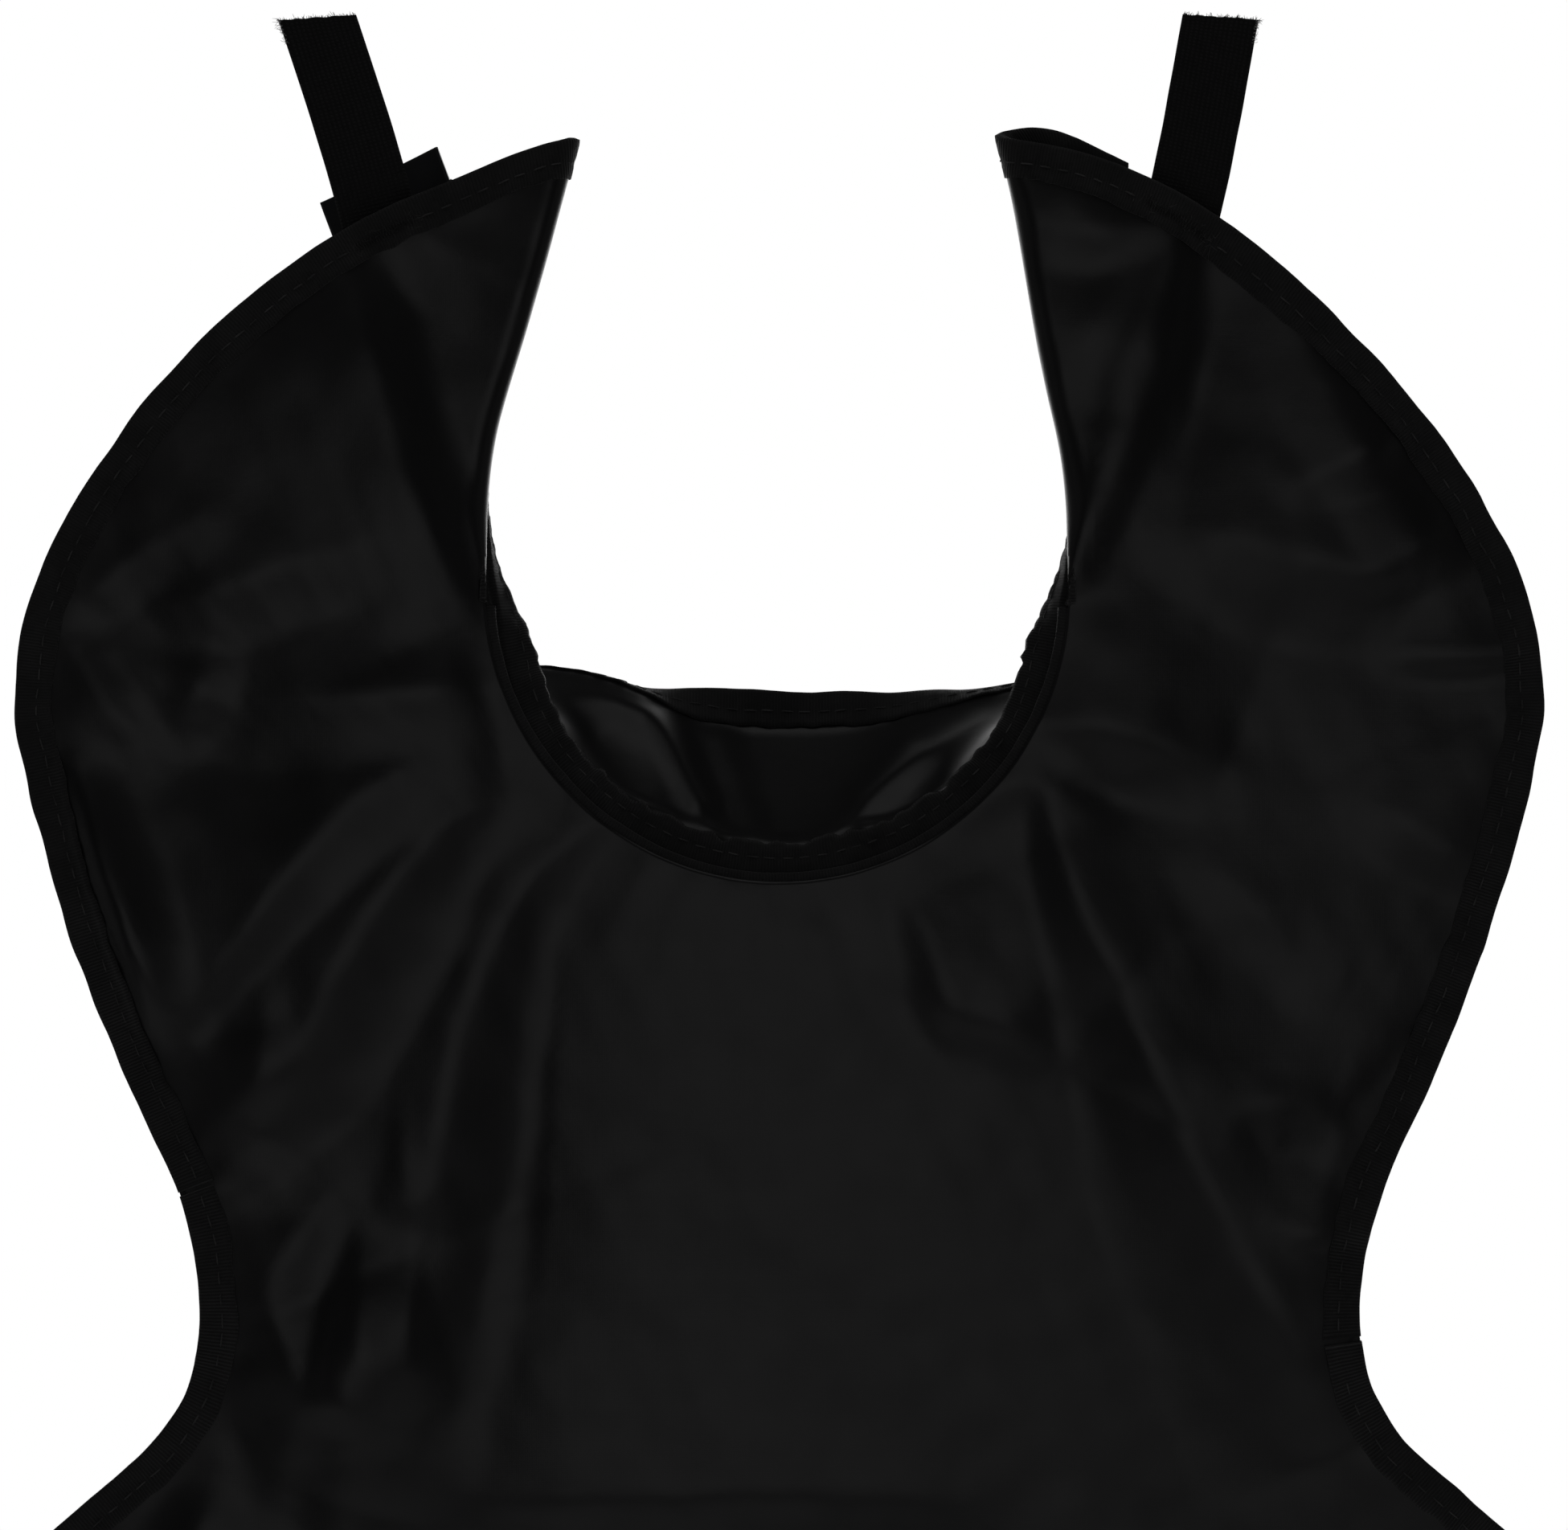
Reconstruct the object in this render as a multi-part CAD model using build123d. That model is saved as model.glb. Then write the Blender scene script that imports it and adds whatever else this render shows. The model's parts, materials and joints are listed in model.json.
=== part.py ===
from build123d import *

import math
import os

# Dental lead apron with a sewn-on thyroid collar, hanging by its two shoulder straps.
# Millimetres. +X is the right side as seen from the front, +Y is away from the viewer, +Z is up.
# The origin is midway between the top ends of the two straps, the line that the apron hangs from.

# ---- cloth and tape thicknesses -------------------------------------------------------------
COVER = 0.5  # one layer of coated nylon
SHEET = 0.5  # one sheet of lead-loaded vinyl
SHEETS = 3
LAMINATE = 2 * COVER + SHEETS * SHEET
TAPE = 0.6  # grosgrain binding
THREAD = 0.25
THREAD_WIDTH = 0.6

# ---- the panel ------------------------------------------------------------------------------
HALF_SPAN = 330.0  # beyond either side of the panel
PRISM_REACH = 60.0  # beyond its front and back
HEM_Z = -731.0
HEM_CORNER = 60.0
SKIRT_HALF = 305.0
WAIST_HALF = 193.0
WAIST_Z = -435.0
TIP = (70.0, -47.0)  # where the shoulder edge meets the rolled neck edge
SHEET_INSET = 4.0  # the vinyl stops short of the outer seam
# From the waist, (radius, degrees of left turn) or (straight length,): up round the arm notch
# and over the shoulder, and down to the flare of the skirt.
WING_STEPS = (
    (123.0, -26.6),
    (560.0, 15.0),
    (65.0, 12.6),
    (120.0, 26.0),
    (257.0, 31.0),
)
SKIRT_STEPS = ((62.0, 49.0), (35.0,))

# ---- the neck opening -----------------------------------------------------------------------
NECK_RADIUS = 97.0
NECK_CENTRE_Z = -192.0
FOLD_STEPS = ((22.0,), (150.0, 14.5))  # from the top of the bowl towards the tip
ROLL_DEPTH = 10.0  # front face of the wing to back face of the part rolled behind it
ROLL_END_Z = -168.0  # below here the neck edge is no longer rolled back
SEAM_LOW = (99.5, ROLL_END_Z)  # edge of the rolled-back flap, where the collar is sewn on
SEAM_HIGH = (114.3, -40.0)

# ---- binding and stitching ------------------------------------------------------------------
BINDING = 12.3  # tape seen on each face
NECK_BINDING = 8.0
STITCH_LINE = 7.2  # from the outer edge of the tape to the middle of the thread
NECK_STITCH_LINE = 4.5
LEFT_SPLICE_Z = -394.0
RIGHT_SPLICE_Z = -441.0

# ---- the collar -----------------------------------------------------------------------------
COLLAR_SHEETS = 2
COLLAR_LAMINATE = 2 * COVER + COLLAR_SHEETS * SHEET
COLLAR_SPANS = 28  # flat stretches that its length is built from
COLLAR_BINDING = 0.1  # these four are shares of the collar's width
COLLAR_FOLD = 0.0065
COLLAR_STITCH_LINE = 0.05
COLLAR_THREAD = 0.0065
PATCH = 1.2  # hook or loop tape
PATCH_LOW, PATCH_HIGH = 0.2, 0.75  # shares of the collar's width that the loop patch covers
PATCH_SPANS = 5
COLLAR_SEAM = (
    (0.0, 1.0, -284.3),
    (46.2, 3.0, -272.0),
    (80.0, 8.0, -238.2),
    (92.3, 14.0, -192.0),
    (98.0, 14.6, -160.0),
    (103.0, 15.0, -112.0),
    (108.0, 15.5, -62.0),
)
COLLAR_EDGE = (
    (0.0, 68.0, -222.0),
    (80.0, 70.0, -222.0),
    (145.0, 74.0, -208.0),
    (184.0, 66.0, -160.0),
    (184.0, 50.0, -93.0),
)

# ---- the straps -----------------------------------------------------------------------------
STRAP_WIDTH = 25.4
STRAP_THICK = 1.8
STRAP_TILT = 13.6  # degrees from upright, leaning outward
STRAP_FOOT = (135.0, -64.0)  # where the middle of the strap crosses the shoulder edge
STRAP_LENGTH = 65.85  # from the shoulder edge to the top end
STRAP_SEWN = 22.0  # length sewn down behind the shoulder
STRAP_BEND = 20.0  # height above the shoulder edge where the webbing starts to bend
STRAP_Y = 3.6  # front face of the webbing
STRAP_TAPE_TOP = 8.0
STRAP_TAPE_LENGTH = 34.0
STRAP_TAPE_INSET = 0.3
GAP = 0.2  # running gap at a bend line
BACKTACK_WIDTH = 2.4

# ---- the closure tab at the left end of the collar ------------------------------------------
TAB_WIDTH = 48.0
TAB_REACH = 21.0  # from its bend line to its free edge
TAB_THICK = 1.2
TAB_TAPE_START = 3.0  # the hook tape begins this far from the bend line
TAB_BASE_SPANS = 1  # stretches of the collar that its sewn base covers
TAB_BASE_HIGH = 0.53  # share of the collar's width that the sewn base reaches
TAB_BASE_THICK = 0.9


def mirrored(points):
    """A right-hand list of points carried on to the left, in one run from left to right."""
    left = [(-p[0], *p[1:]) for p in reversed(points)]
    return left[:-1] + list(points)


# ---- flat shapes, drawn with the sketch's Y standing for Z ------------------------------------
def tangent_chain(start, heading, steps):
    """Edges that leave start along heading. Each step is (radius, degrees) or (length,).

    Positive degrees turn left.
    """
    edges, point, direction = [], Vector(*start), Vector(*heading)
    for step in steps:
        if len(step) == 1:
            edge = Line(point, point + direction * step[0])
        else:
            edge = JernArc(point, direction, radius=step[0], arc_size=step[1])
        edges.append(edge)
        point, direction = edge @ 1, edge % 1
    return edges, point, direction


def outline(grow):
    """Outer edge of the apron with the neck left closed, grown outward by grow."""
    waist = (WAIST_HALF, WAIST_Z)
    wing, shoulder, heading = tangent_chain(waist, (0, 1), WING_STEPS)
    wing.append(TangentArc(shoulder, TIP, tangent=heading))
    flare, hip, heading = tangent_chain(waist, (0, -1), SKIRT_STEPS)
    sweep = math.degrees(math.atan2(heading.X, -heading.Y))
    radius = (SKIRT_HALF - hip.X) / (1 - math.cos(math.radians(sweep)))
    flare.append(JernArc(hip, heading, radius=radius, arc_size=-sweep))
    corner_top = (SKIRT_HALF, HEM_Z + HEM_CORNER)
    corner_foot = (SKIRT_HALF - HEM_CORNER, HEM_Z)
    side = Line(flare[-1] @ 1, corner_top)
    corner = RadiusArc(corner_foot, corner_top, -HEM_CORNER)
    hem = Line((0, HEM_Z), corner_foot)
    top = Line(TIP, (0, TIP[1]))
    half = [hem, corner, side] + flare + wing + [top]
    face = make_face(half + [mirror(edge, about=Plane.YZ) for edge in half])
    return offset(face, grow) if grow else face


def neck(grow):
    """The neck opening between the rolled edges, carried on above the shoulders."""
    radius = NECK_RADIUS
    bowl = ThreePointArc(
        (-radius, NECK_CENTRE_Z), (0, NECK_CENTRE_Z - radius), (radius, NECK_CENTRE_Z)
    )
    fold, lean_start, _ = tangent_chain((radius, NECK_CENTRE_Z), (0, 1), FOLD_STEPS)
    above = (TIP[0], 20.0)
    side = fold + [Line(lean_start, TIP), Line(TIP, above), Line(above, (0, above[1]))]
    face = make_face([bowl] + side + [mirror(edge, about=Plane.YZ) for edge in side])
    return offset(face, grow) if grow else face


def box2d(x0, z0, x1, z1):
    return make_face(Polyline((x0, z0), (x1, z0), (x1, z1), (x0, z1), close=True))


def flap_strip(grow):
    """Everything between the two seam edges of the rolled-back flaps, grown outward by grow."""
    low, high = SEAM_LOW[0] + grow, SEAM_HIGH[0] + grow
    corners = [(-low, SEAM_LOW[1]), (low, SEAM_LOW[1]), (high, SEAM_HIGH[1]), (-high, SEAM_HIGH[1])]
    return make_face(Polyline(*corners, close=True))


# ---- solids on the panel, which is modelled hanging flat ----------------------------------------
def slab(region, near, far):
    """A flat shape given thickness, from depth near to depth far behind the panel's front."""
    return extrude(Plane.XZ.offset(-near) * region, amount=near - far)


def prism(region):
    """A flat shape carried from in front of the panel to well behind it."""
    return slab(region, -PRISM_REACH, PRISM_REACH)


def folded(near, far, grow):
    """One layer of the panel, with its neck edges rolled round behind the wings.

    near and far are depths from the panel's front face; the same layer behind the wing lies
    that far in from the flap's back face.
    """
    whole = outline(grow)
    front = slab(whole - neck(near), near, far)
    above = box2d(-HALF_SPAN, ROLL_END_Z, HALF_SPAN, 0)
    edge_wall = slab((neck(far) - neck(near)) & above & whole, near, ROLL_DEPTH - near)
    flap = slab((flap_strip(0) & whole) - neck(near), ROLL_DEPTH - far, ROLL_DEPTH - near)
    return front + edge_wall + flap


def binding(laminate):
    """The grosgrain all round the outer edge, in its three spliced lengths."""
    band = outline(TAPE) - outline(TAPE - BINDING)
    whole = (folded(-TAPE, LAMINATE + TAPE, TAPE) & prism(band)) - laminate
    left = prism(box2d(-HALF_SPAN, LEFT_SPLICE_Z, 0, 0))
    right = prism(box2d(0, RIGHT_SPLICE_Z, HALF_SPAN, 0))
    parts = {
        "left_wing_binding": whole & left,
        "right_wing_binding": whole & right,
        "skirt_binding": whole - left - right,
    }
    return parts, band


def neck_binding(laminate, shoulder_band):
    """The tape on the neck edge: round the bowl, then up both seam edges behind the wings."""
    bowl_band = (neck(NECK_BINDING - TAPE) - neck(-TAPE)) & box2d(
        -HALF_SPAN, -400, HALF_SPAN, ROLL_END_Z
    )
    bowl = slab(bowl_band, -TAPE, LAMINATE + TAPE)
    step_height = 6.0
    step = bowl_band & box2d(-HALF_SPAN, ROLL_END_Z - step_height, HALF_SPAN, ROLL_END_Z)
    joggle = slab(step, -TAPE, ROLL_DEPTH + TAPE)
    seam_band = flap_strip(TAPE) - flap_strip(TAPE - NECK_BINDING) - neck(-TAPE) - shoulder_band
    seam_band = seam_band & outline(0)
    seam = slab(seam_band, ROLL_DEPTH - LAMINATE - TAPE, ROLL_DEPTH + TAPE)
    return (bowl + joggle + seam) - laminate


def ring(distance, width):
    """A line that follows the outer edge, distance in from the edge of the tape."""
    outer = TAPE - distance + width / 2
    clear_of_roll = LAMINATE + TAPE + THREAD
    return outline(outer) - outline(outer - width) - neck(clear_of_roll)


def strap_window(side):
    """The strap's own width across the shoulder, seen from the front."""
    lean = Rot(0, 0, -side * STRAP_TILT)
    return Pos(side * STRAP_FOOT[0], STRAP_FOOT[1]) * lean * Rectangle(STRAP_WIDTH - 3, 60)


def backtack(side):
    """The dense rows of stitches across the binding that fasten a strap's sewn end."""
    row = ring(STITCH_LINE, BACKTACK_WIDTH) & strap_window(side)
    return slab(row, -TAPE - THREAD, -TAPE)


def edge_stitching():
    """Both faces of the lockstitch that holds the outer binding, cut at the tape's splices."""
    line = ring(STITCH_LINE, THREAD_WIDTH)
    front_line = line - strap_window(-1) - strap_window(1)
    back = LAMINATE + TAPE
    whole = slab(front_line, -TAPE - THREAD, -TAPE) + slab(line, back, back + THREAD)
    left = prism(box2d(-HALF_SPAN, LEFT_SPLICE_Z, 0, 0))
    right = prism(box2d(0, RIGHT_SPLICE_Z, HALF_SPAN, 0))
    return {
        "left_wing_stitching": whole & left,
        "right_wing_stitching": whole & right,
        "skirt_stitching": whole - left - right,
    }


def neck_stitching():
    start = NECK_STITCH_LINE - TAPE
    line = (neck(start + THREAD_WIDTH) - neck(start)) & box2d(-200, -400, 200, ROLL_END_Z - 8)
    back = LAMINATE + TAPE
    return slab(line, -TAPE - THREAD, -TAPE) + slab(line, back, back + THREAD)


# ---- the collar, built across its width at stations along its length ---------------------------
SEAM_CURVE = Spline(*mirrored(COLLAR_SEAM))
EDGE_CURVE = Spline(*mirrored(COLLAR_EDGE))


def station(number):
    """Seam point, span to the free edge, unit vector out of the collar's outer face."""
    place = number / COLLAR_SPANS
    base = SEAM_CURVE @ place
    span = (EDGE_CURVE @ place) - base
    return base, span, span.cross(SEAM_CURVE % place).normalized()


def collar_loft(section, first=0, last=COLLAR_SPANS):
    """A closed strip of the collar from one station to another.

    section lists its corners as (share of the width from the seam, height above the inner face),
    so strips that share an edge or a face meet exactly.
    """
    wires = []
    for number in range(first, last + 1):
        base, span, outward = station(number)
        corners = [base + span * share + outward * height for share, height in section]
        wires.append(Wire.make_polygon(corners, close=True))
    return Solid.make_loft(wires, ruled=True)


def strip(low, high, near, far):
    return [(low, near), (high, near), (high, far), (low, far)]


def collar_tape(at_seam):
    """The binding's section, folded round the seam edge or the free edge."""
    low, high = -TAPE, COLLAR_LAMINATE + TAPE
    fold, edge, top = -COLLAR_FOLD, 0.0, COLLAR_BINDING
    section = [(top, low), (fold, low), (fold, high), (top, high), (top, COLLAR_LAMINATE),
               (edge, COLLAR_LAMINATE), (edge, 0.0), (top, 0.0)]
    return section if at_seam else [(1 - share, height) for share, height in section]


def collar_thread(middle):
    """Both faces of a stitch line, middle of the way across the collar."""
    low, high = middle - COLLAR_THREAD / 2, middle + COLLAR_THREAD / 2
    back = COLLAR_LAMINATE + TAPE
    faces = [strip(low, high, -TAPE - THREAD, -TAPE), strip(low, high, back, back + THREAD)]
    return Compound([collar_loft(face) for face in faces])


def collar_parts():
    heights = [0, COVER]
    heights += [COVER + SHEET * (i + 1) for i in range(COLLAR_SHEETS)]
    heights.append(COLLAR_LAMINATE)
    names = ["collar_inner_cover", "collar_shield_sheet_inner", "collar_shield_sheet_outer"]
    names.append("collar_outer_cover")
    parts = {}
    for name, pair in zip(names, zip(heights, heights[1:])):
        parts[name] = collar_loft(strip(0, 1, *pair))
    parts["collar_seam_binding"] = collar_loft(collar_tape(True))
    parts["collar_edge_binding"] = collar_loft(collar_tape(False))
    parts["collar_seam_stitching"] = collar_thread(COLLAR_STITCH_LINE)
    parts["collar_edge_stitching"] = collar_thread(1 - COLLAR_STITCH_LINE)
    outer = COLLAR_LAMINATE
    patch = strip(PATCH_LOW, PATCH_HIGH, outer, outer + PATCH)
    parts["collar_loop_patch"] = collar_loft(patch, COLLAR_SPANS - PATCH_SPANS, COLLAR_SPANS - 1)
    base = strip(COLLAR_BINDING, TAB_BASE_HIGH, -TAB_BASE_THICK, 0)
    parts["closure_tab_base"] = collar_loft(base, 0, TAB_BASE_SPANS)
    return parts


# ---- straps and tab, drawn flat in their own planes --------------------------------------------
def strap_plane(side):
    """Middle of the webbing where it crosses the shoulder edge; local Y runs up the strap."""
    lean = math.radians(STRAP_TILT)
    across = (math.cos(lean), 0, -side * math.sin(lean))
    origin = (side * STRAP_FOOT[0], STRAP_Y + STRAP_THICK / 2, STRAP_FOOT[1])
    return Plane(origin=origin, x_dir=across, z_dir=(0, -1, 0))


def plate(width, low, high, near, far):
    """A flat strip in a strap's plane; near and far are measured towards the front."""
    return Pos(0, (low + high) / 2, (near + far) / 2) * Box(width, high - low, far - near)


def bent_end(width, thick, height):
    """The rounded end that lets a strip turn at its bend line."""
    return Pos(0, height, 0) * Rot(0, 90, 0) * Cylinder(thick / 2, width)


def strap_parts(side, name, tape_name):
    half = STRAP_THICK / 2
    place = strap_plane(side)
    root = plate(STRAP_WIDTH, -STRAP_SEWN, STRAP_BEND - half - GAP, -half, half)
    webbing = plate(STRAP_WIDTH, STRAP_BEND, STRAP_LENGTH, -half, half)
    webbing += bent_end(STRAP_WIDTH, STRAP_THICK, STRAP_BEND)
    tape_top = STRAP_LENGTH - STRAP_TAPE_TOP
    tape_width = STRAP_WIDTH - 2 * STRAP_TAPE_INSET
    tape = plate(tape_width, tape_top - STRAP_TAPE_LENGTH, tape_top, -half - PATCH, -half)
    return {
        f"{name}_strap_root": place * root,
        f"{name}_strap_webbing": place * webbing,
        f"{name}_strap_{tape_name}": place * tape,
    }


def tab_plane():
    """Bend line of the closure tab: local X along the collar's end edge, Y past the end."""
    base, span, outward = station(0)
    across = span.normalized()
    past_end = across.cross(outward)
    reach = TAB_THICK / 2 + GAP
    origin = base + across * (TAB_WIDTH / 2) + past_end * reach
    return Plane(origin=origin, x_dir=across, z_dir=-outward)


def tab_parts():
    """The tab stands past the collar's end, with its hook tape on the face towards the neck."""
    half = TAB_THICK / 2
    place = tab_plane()
    fabric = plate(TAB_WIDTH, 0, TAB_REACH, -half, half) + bent_end(TAB_WIDTH, TAB_THICK, 0)
    tape = plate(TAB_WIDTH - 2, TAB_TAPE_START, TAB_REACH - 1, half, half + PATCH)
    return {"closure_tab": place * fabric, "closure_tab_hook_tape": place * tape}


def build():
    parts = {}
    depths = [0, COVER] + [COVER + SHEET * (i + 1) for i in range(SHEETS)] + [LAMINATE]
    names = ["front_cover", "shield_sheet_front", "shield_sheet_middle", "shield_sheet_rear"]
    names.append("back_cover")
    for name, pair in zip(names, zip(depths, depths[1:])):
        inset = SHEET_INSET if name.startswith("shield") else 0
        parts[name] = folded(*pair, -inset)
    laminate = folded(0, LAMINATE, 0)
    lengths, shoulder_band = binding(laminate)
    parts.update(lengths)
    parts["neck_binding"] = neck_binding(laminate, shoulder_band)
    parts.update(edge_stitching())
    parts["neck_stitching"] = neck_stitching()
    parts.update(collar_parts())
    parts.update(strap_parts(-1, "left", "hook_tape"))
    parts.update(strap_parts(1, "right", "loop_tape"))
    parts["left_strap_backtack"] = backtack(-1)
    parts["right_strap_backtack"] = backtack(1)
    parts.update(tab_parts())
    return parts


os.makedirs("parts", exist_ok=True)
for node, shape in build().items():
    export_step(shape, f"parts/{node}.step")
    print(node, round(shape.volume, 1))
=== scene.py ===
import json
import math

import bpy
import numpy as np
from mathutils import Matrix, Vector
from mathutils.geometry import delaunay_2d_cdt


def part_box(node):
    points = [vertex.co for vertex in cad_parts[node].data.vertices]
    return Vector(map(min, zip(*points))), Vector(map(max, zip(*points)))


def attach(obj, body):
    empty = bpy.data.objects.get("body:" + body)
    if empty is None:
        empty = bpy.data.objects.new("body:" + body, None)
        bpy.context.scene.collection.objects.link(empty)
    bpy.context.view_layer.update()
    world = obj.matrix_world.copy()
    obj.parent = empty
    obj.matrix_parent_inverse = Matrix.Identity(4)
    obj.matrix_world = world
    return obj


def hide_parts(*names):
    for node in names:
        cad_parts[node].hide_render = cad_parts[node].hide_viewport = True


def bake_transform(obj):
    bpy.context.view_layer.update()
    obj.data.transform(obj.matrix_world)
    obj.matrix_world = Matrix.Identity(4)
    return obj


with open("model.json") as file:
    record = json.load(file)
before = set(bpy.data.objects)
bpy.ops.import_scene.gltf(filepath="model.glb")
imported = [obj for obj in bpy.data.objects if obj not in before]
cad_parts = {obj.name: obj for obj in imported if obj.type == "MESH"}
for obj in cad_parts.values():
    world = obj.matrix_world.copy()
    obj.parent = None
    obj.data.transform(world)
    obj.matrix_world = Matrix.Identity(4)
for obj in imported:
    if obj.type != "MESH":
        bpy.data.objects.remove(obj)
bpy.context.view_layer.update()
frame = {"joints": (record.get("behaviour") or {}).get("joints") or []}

# The looks of the dental lead apron. Sizes below are in millimetres, as in the CAD source, and
# add_mesh() turns them into metres. +X is the right side seen from the front, +Y is away, +Z up.
# The panel is drawn as a flat pattern of (x, z) points, and panel() says where such a point lies
# once the apron hangs in folds with its neck edges rolled back. "depth" is measured into the cloth
# from its front face.
MM = 0.001

# ---- repeated from the CAD source --------------------------------------------------------------
COVER, SHEET, LAMINATE, TAPE = 0.5, 0.5, 2.5, 0.6
HEM_Z, HEM_CORNER, SKIRT_HALF = -731.0, 60.0, 305.0
WAIST = (193.0, -435.0)
TIP = (70.0, -47.0)
WING_STEPS = ((123.0, -26.6), (560.0, 15.0), (65.0, 12.6), (120.0, 26.0), (257.0, 31.0))
FLARE_STEP, FLARE_RUN = (62.0, 49.0), 35.0
NECK_RADIUS, NECK_CENTRE_Z = 97.0, -192.0
NECK_LEAN, NECK_LEAN_RADIUS, NECK_LEAN_Z = 14.5, 150.0, -170.0
SEAM_LOW, SEAM_HIGH = (99.5, -168.0), (114.3, -40.0)
BINDING, STITCH_LINE = 12.3, 7.2
LEFT_SPLICE_Z, RIGHT_SPLICE_Z = -394.0, -441.0
COLLAR_LAMINATE = 2.0
STRAP_WIDTH, STRAP_THICK, STRAP_TILT = 25.4, 1.8, 13.6
STRAP_FOOT, STRAP_LENGTH, STRAP_SEWN, STRAP_BEND, STRAP_Y = (135.0, -64.0), 65.85, 22.0, 20.0, 3.6

# ---- drape -------------------------------------------------------------------------------------
BOW_RADIUS = 8000.0  # the panel hangs in a gentle bow
ROLL_RADIUS = 7.0
ROLL_FROM, ROLL_FULL = -196.0, -158.0  # heights over which the neck edge starts to roll
RIB = 1.07  # pitch of the grosgrain's ribs
STITCH_PITCH, STITCH_LENGTH = 6.4, 4.4
SHIELD_INSET = 4.0  # how far the lead vinyl stops short of the covers' edge
NECK_TAPE, NECK_LAP = 6.7, 2.4  # width of the neck tape, and how far its fold stands past the edge
LEFT_TIP_RISE = 6.0  # the left tip stands higher than the right one
COLLAR_CUT_SHARE = 0.86  # the collar's cut area over its length by mean width: an estimate
TAB_WIDTH, TAB_DEPTH = 48.0, 22.0
PILE_HEIGHT, PAD_LENGTH, PAD_TOP_GAP = 1.2, 34.0, 8.0  # the straps' hook and loop pads
BACKTACK_HALF, BACKTACK_STEP = 1.3, 0.5


def smooth(value, low, high):
    share = np.clip((value - low) / (high - low), 0, 1)
    return share * share * (3 - 2 * share)


def unit(vectors):
    return vectors / np.linalg.norm(vectors, axis=1)[:, None]


def marks_along(points):
    """The distance along a polyline at each of its points."""
    return np.concatenate([[0], np.cumsum(np.linalg.norm(np.diff(points, axis=0), axis=1))])


# ---- outline of the panel ------------------------------------------------------------------------
def arc(start, angle, radius, degrees):
    """Points of an arc that leaves start in a direction, and the direction at its end."""
    sign, sweep = math.copysign(1, degrees), math.radians(degrees)
    centre = start + sign * radius * np.array([-math.sin(angle), math.cos(angle)])
    turns = angle + sweep * np.linspace(0, 1, 2 + int(abs(sweep) * radius / 2))[1:]
    spokes = np.column_stack([np.sin(turns), -np.cos(turns)])
    return centre + sign * radius * spokes, angle + sweep


def arc_to(start, angle, target):
    """The arc that leaves start in a direction and ends at target."""
    chord = np.array(target) - start
    along = chord @ [math.cos(angle), math.sin(angle)]
    left = chord @ [-math.sin(angle), math.cos(angle)]
    return arc(start, angle, chord @ chord / abs(2 * left), math.degrees(2 * math.atan2(left, along)))


def wing_line():
    """From the waist round the arm notch and over the shoulder to the tip."""
    point, angle, runs = np.array(WAIST), math.pi / 2, [[WAIST]]
    for radius, degrees in WING_STEPS:
        run, angle = arc(point, angle, radius, degrees)
        runs.append(run)
        point = run[-1]
    runs.append(arc_to(point, angle, TIP)[0])
    return np.vstack(runs)


def skirt_line():
    """From the middle of the hem up the side to the waist."""
    run, angle = arc(np.array(WAIST), -math.pi / 2, *FLARE_STEP)
    hip = run[-1] + FLARE_RUN * np.array([math.cos(angle), math.sin(angle)])
    sweep = angle + math.pi / 2
    radius = (SKIRT_HALF - hip[0]) / (1 - math.cos(sweep))
    side, _ = arc(hip, angle, radius, -math.degrees(sweep))
    corner_top = np.array([SKIRT_HALF, HEM_Z + HEM_CORNER])
    corner, _ = arc(corner_top, -math.pi / 2, HEM_CORNER, -90)
    down = [[WAIST], run, [hip], side, [corner_top], corner, [[0, HEM_Z]]]
    return np.vstack(down)[::-1]


def resampled(points, step):
    """A polyline's points again, evenly spaced."""
    at = marks_along(points)
    even = np.linspace(0, at[-1], 2 + int(at[-1] / step))
    return np.column_stack([np.interp(even, at, column) for column in points.T])


WING = wing_line()
SHOULDER = WING[WING[:, 1] > -110]


def neck_edge(z):
    """Half the width between the two rolled edges at a height."""
    lean = math.radians(NECK_LEAN)
    rise = np.clip(z - NECK_LEAN_Z, 0, NECK_LEAN_RADIUS * math.sin(lean))
    curved = np.sqrt(NECK_LEAN_RADIUS**2 - rise**2) - NECK_LEAN_RADIUS
    above = np.maximum(z - NECK_LEAN_Z - rise, 0)
    return NECK_RADIUS + curved - above * math.tan(lean)


def roll_share(z):
    """0 where the bowl's edge lies flat, and 1 where the neck's edge is fully rolled back."""
    return smooth(z, ROLL_FROM, ROLL_FULL)


def roll_radius(z):
    return np.maximum(ROLL_RADIUS * roll_share(z), 0.3)


def flap_end(z):
    """How far past the neck edge the pattern reaches: round the roll and out to the seam."""
    share = (z - SEAM_LOW[1]) / (SEAM_HIGH[1] - SEAM_LOW[1])
    seam = SEAM_LOW[0] + share * (SEAM_HIGH[0] - SEAM_LOW[0]) - neck_edge(z)
    return roll_share(z) * ((math.pi - 2) * roll_radius(z) + np.maximum(seam, 0))


def rolled(x, z):
    """A pattern point's real distance from the middle, and its depth behind the front face."""
    radius, edge = roll_radius(z), neck_edge(z)
    past = np.where(z > ROLL_FROM, edge + radius - np.abs(x), 0)
    turn = np.clip(past / radius, 0, math.pi)
    behind = np.maximum(past - math.pi * radius, 0)
    across = np.where(past > 0, edge + radius * (1 - np.sin(turn)) + behind, np.abs(x))
    return across * np.sign(x), np.where(past > 0, radius * (1 - np.cos(turn)), 0)


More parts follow.
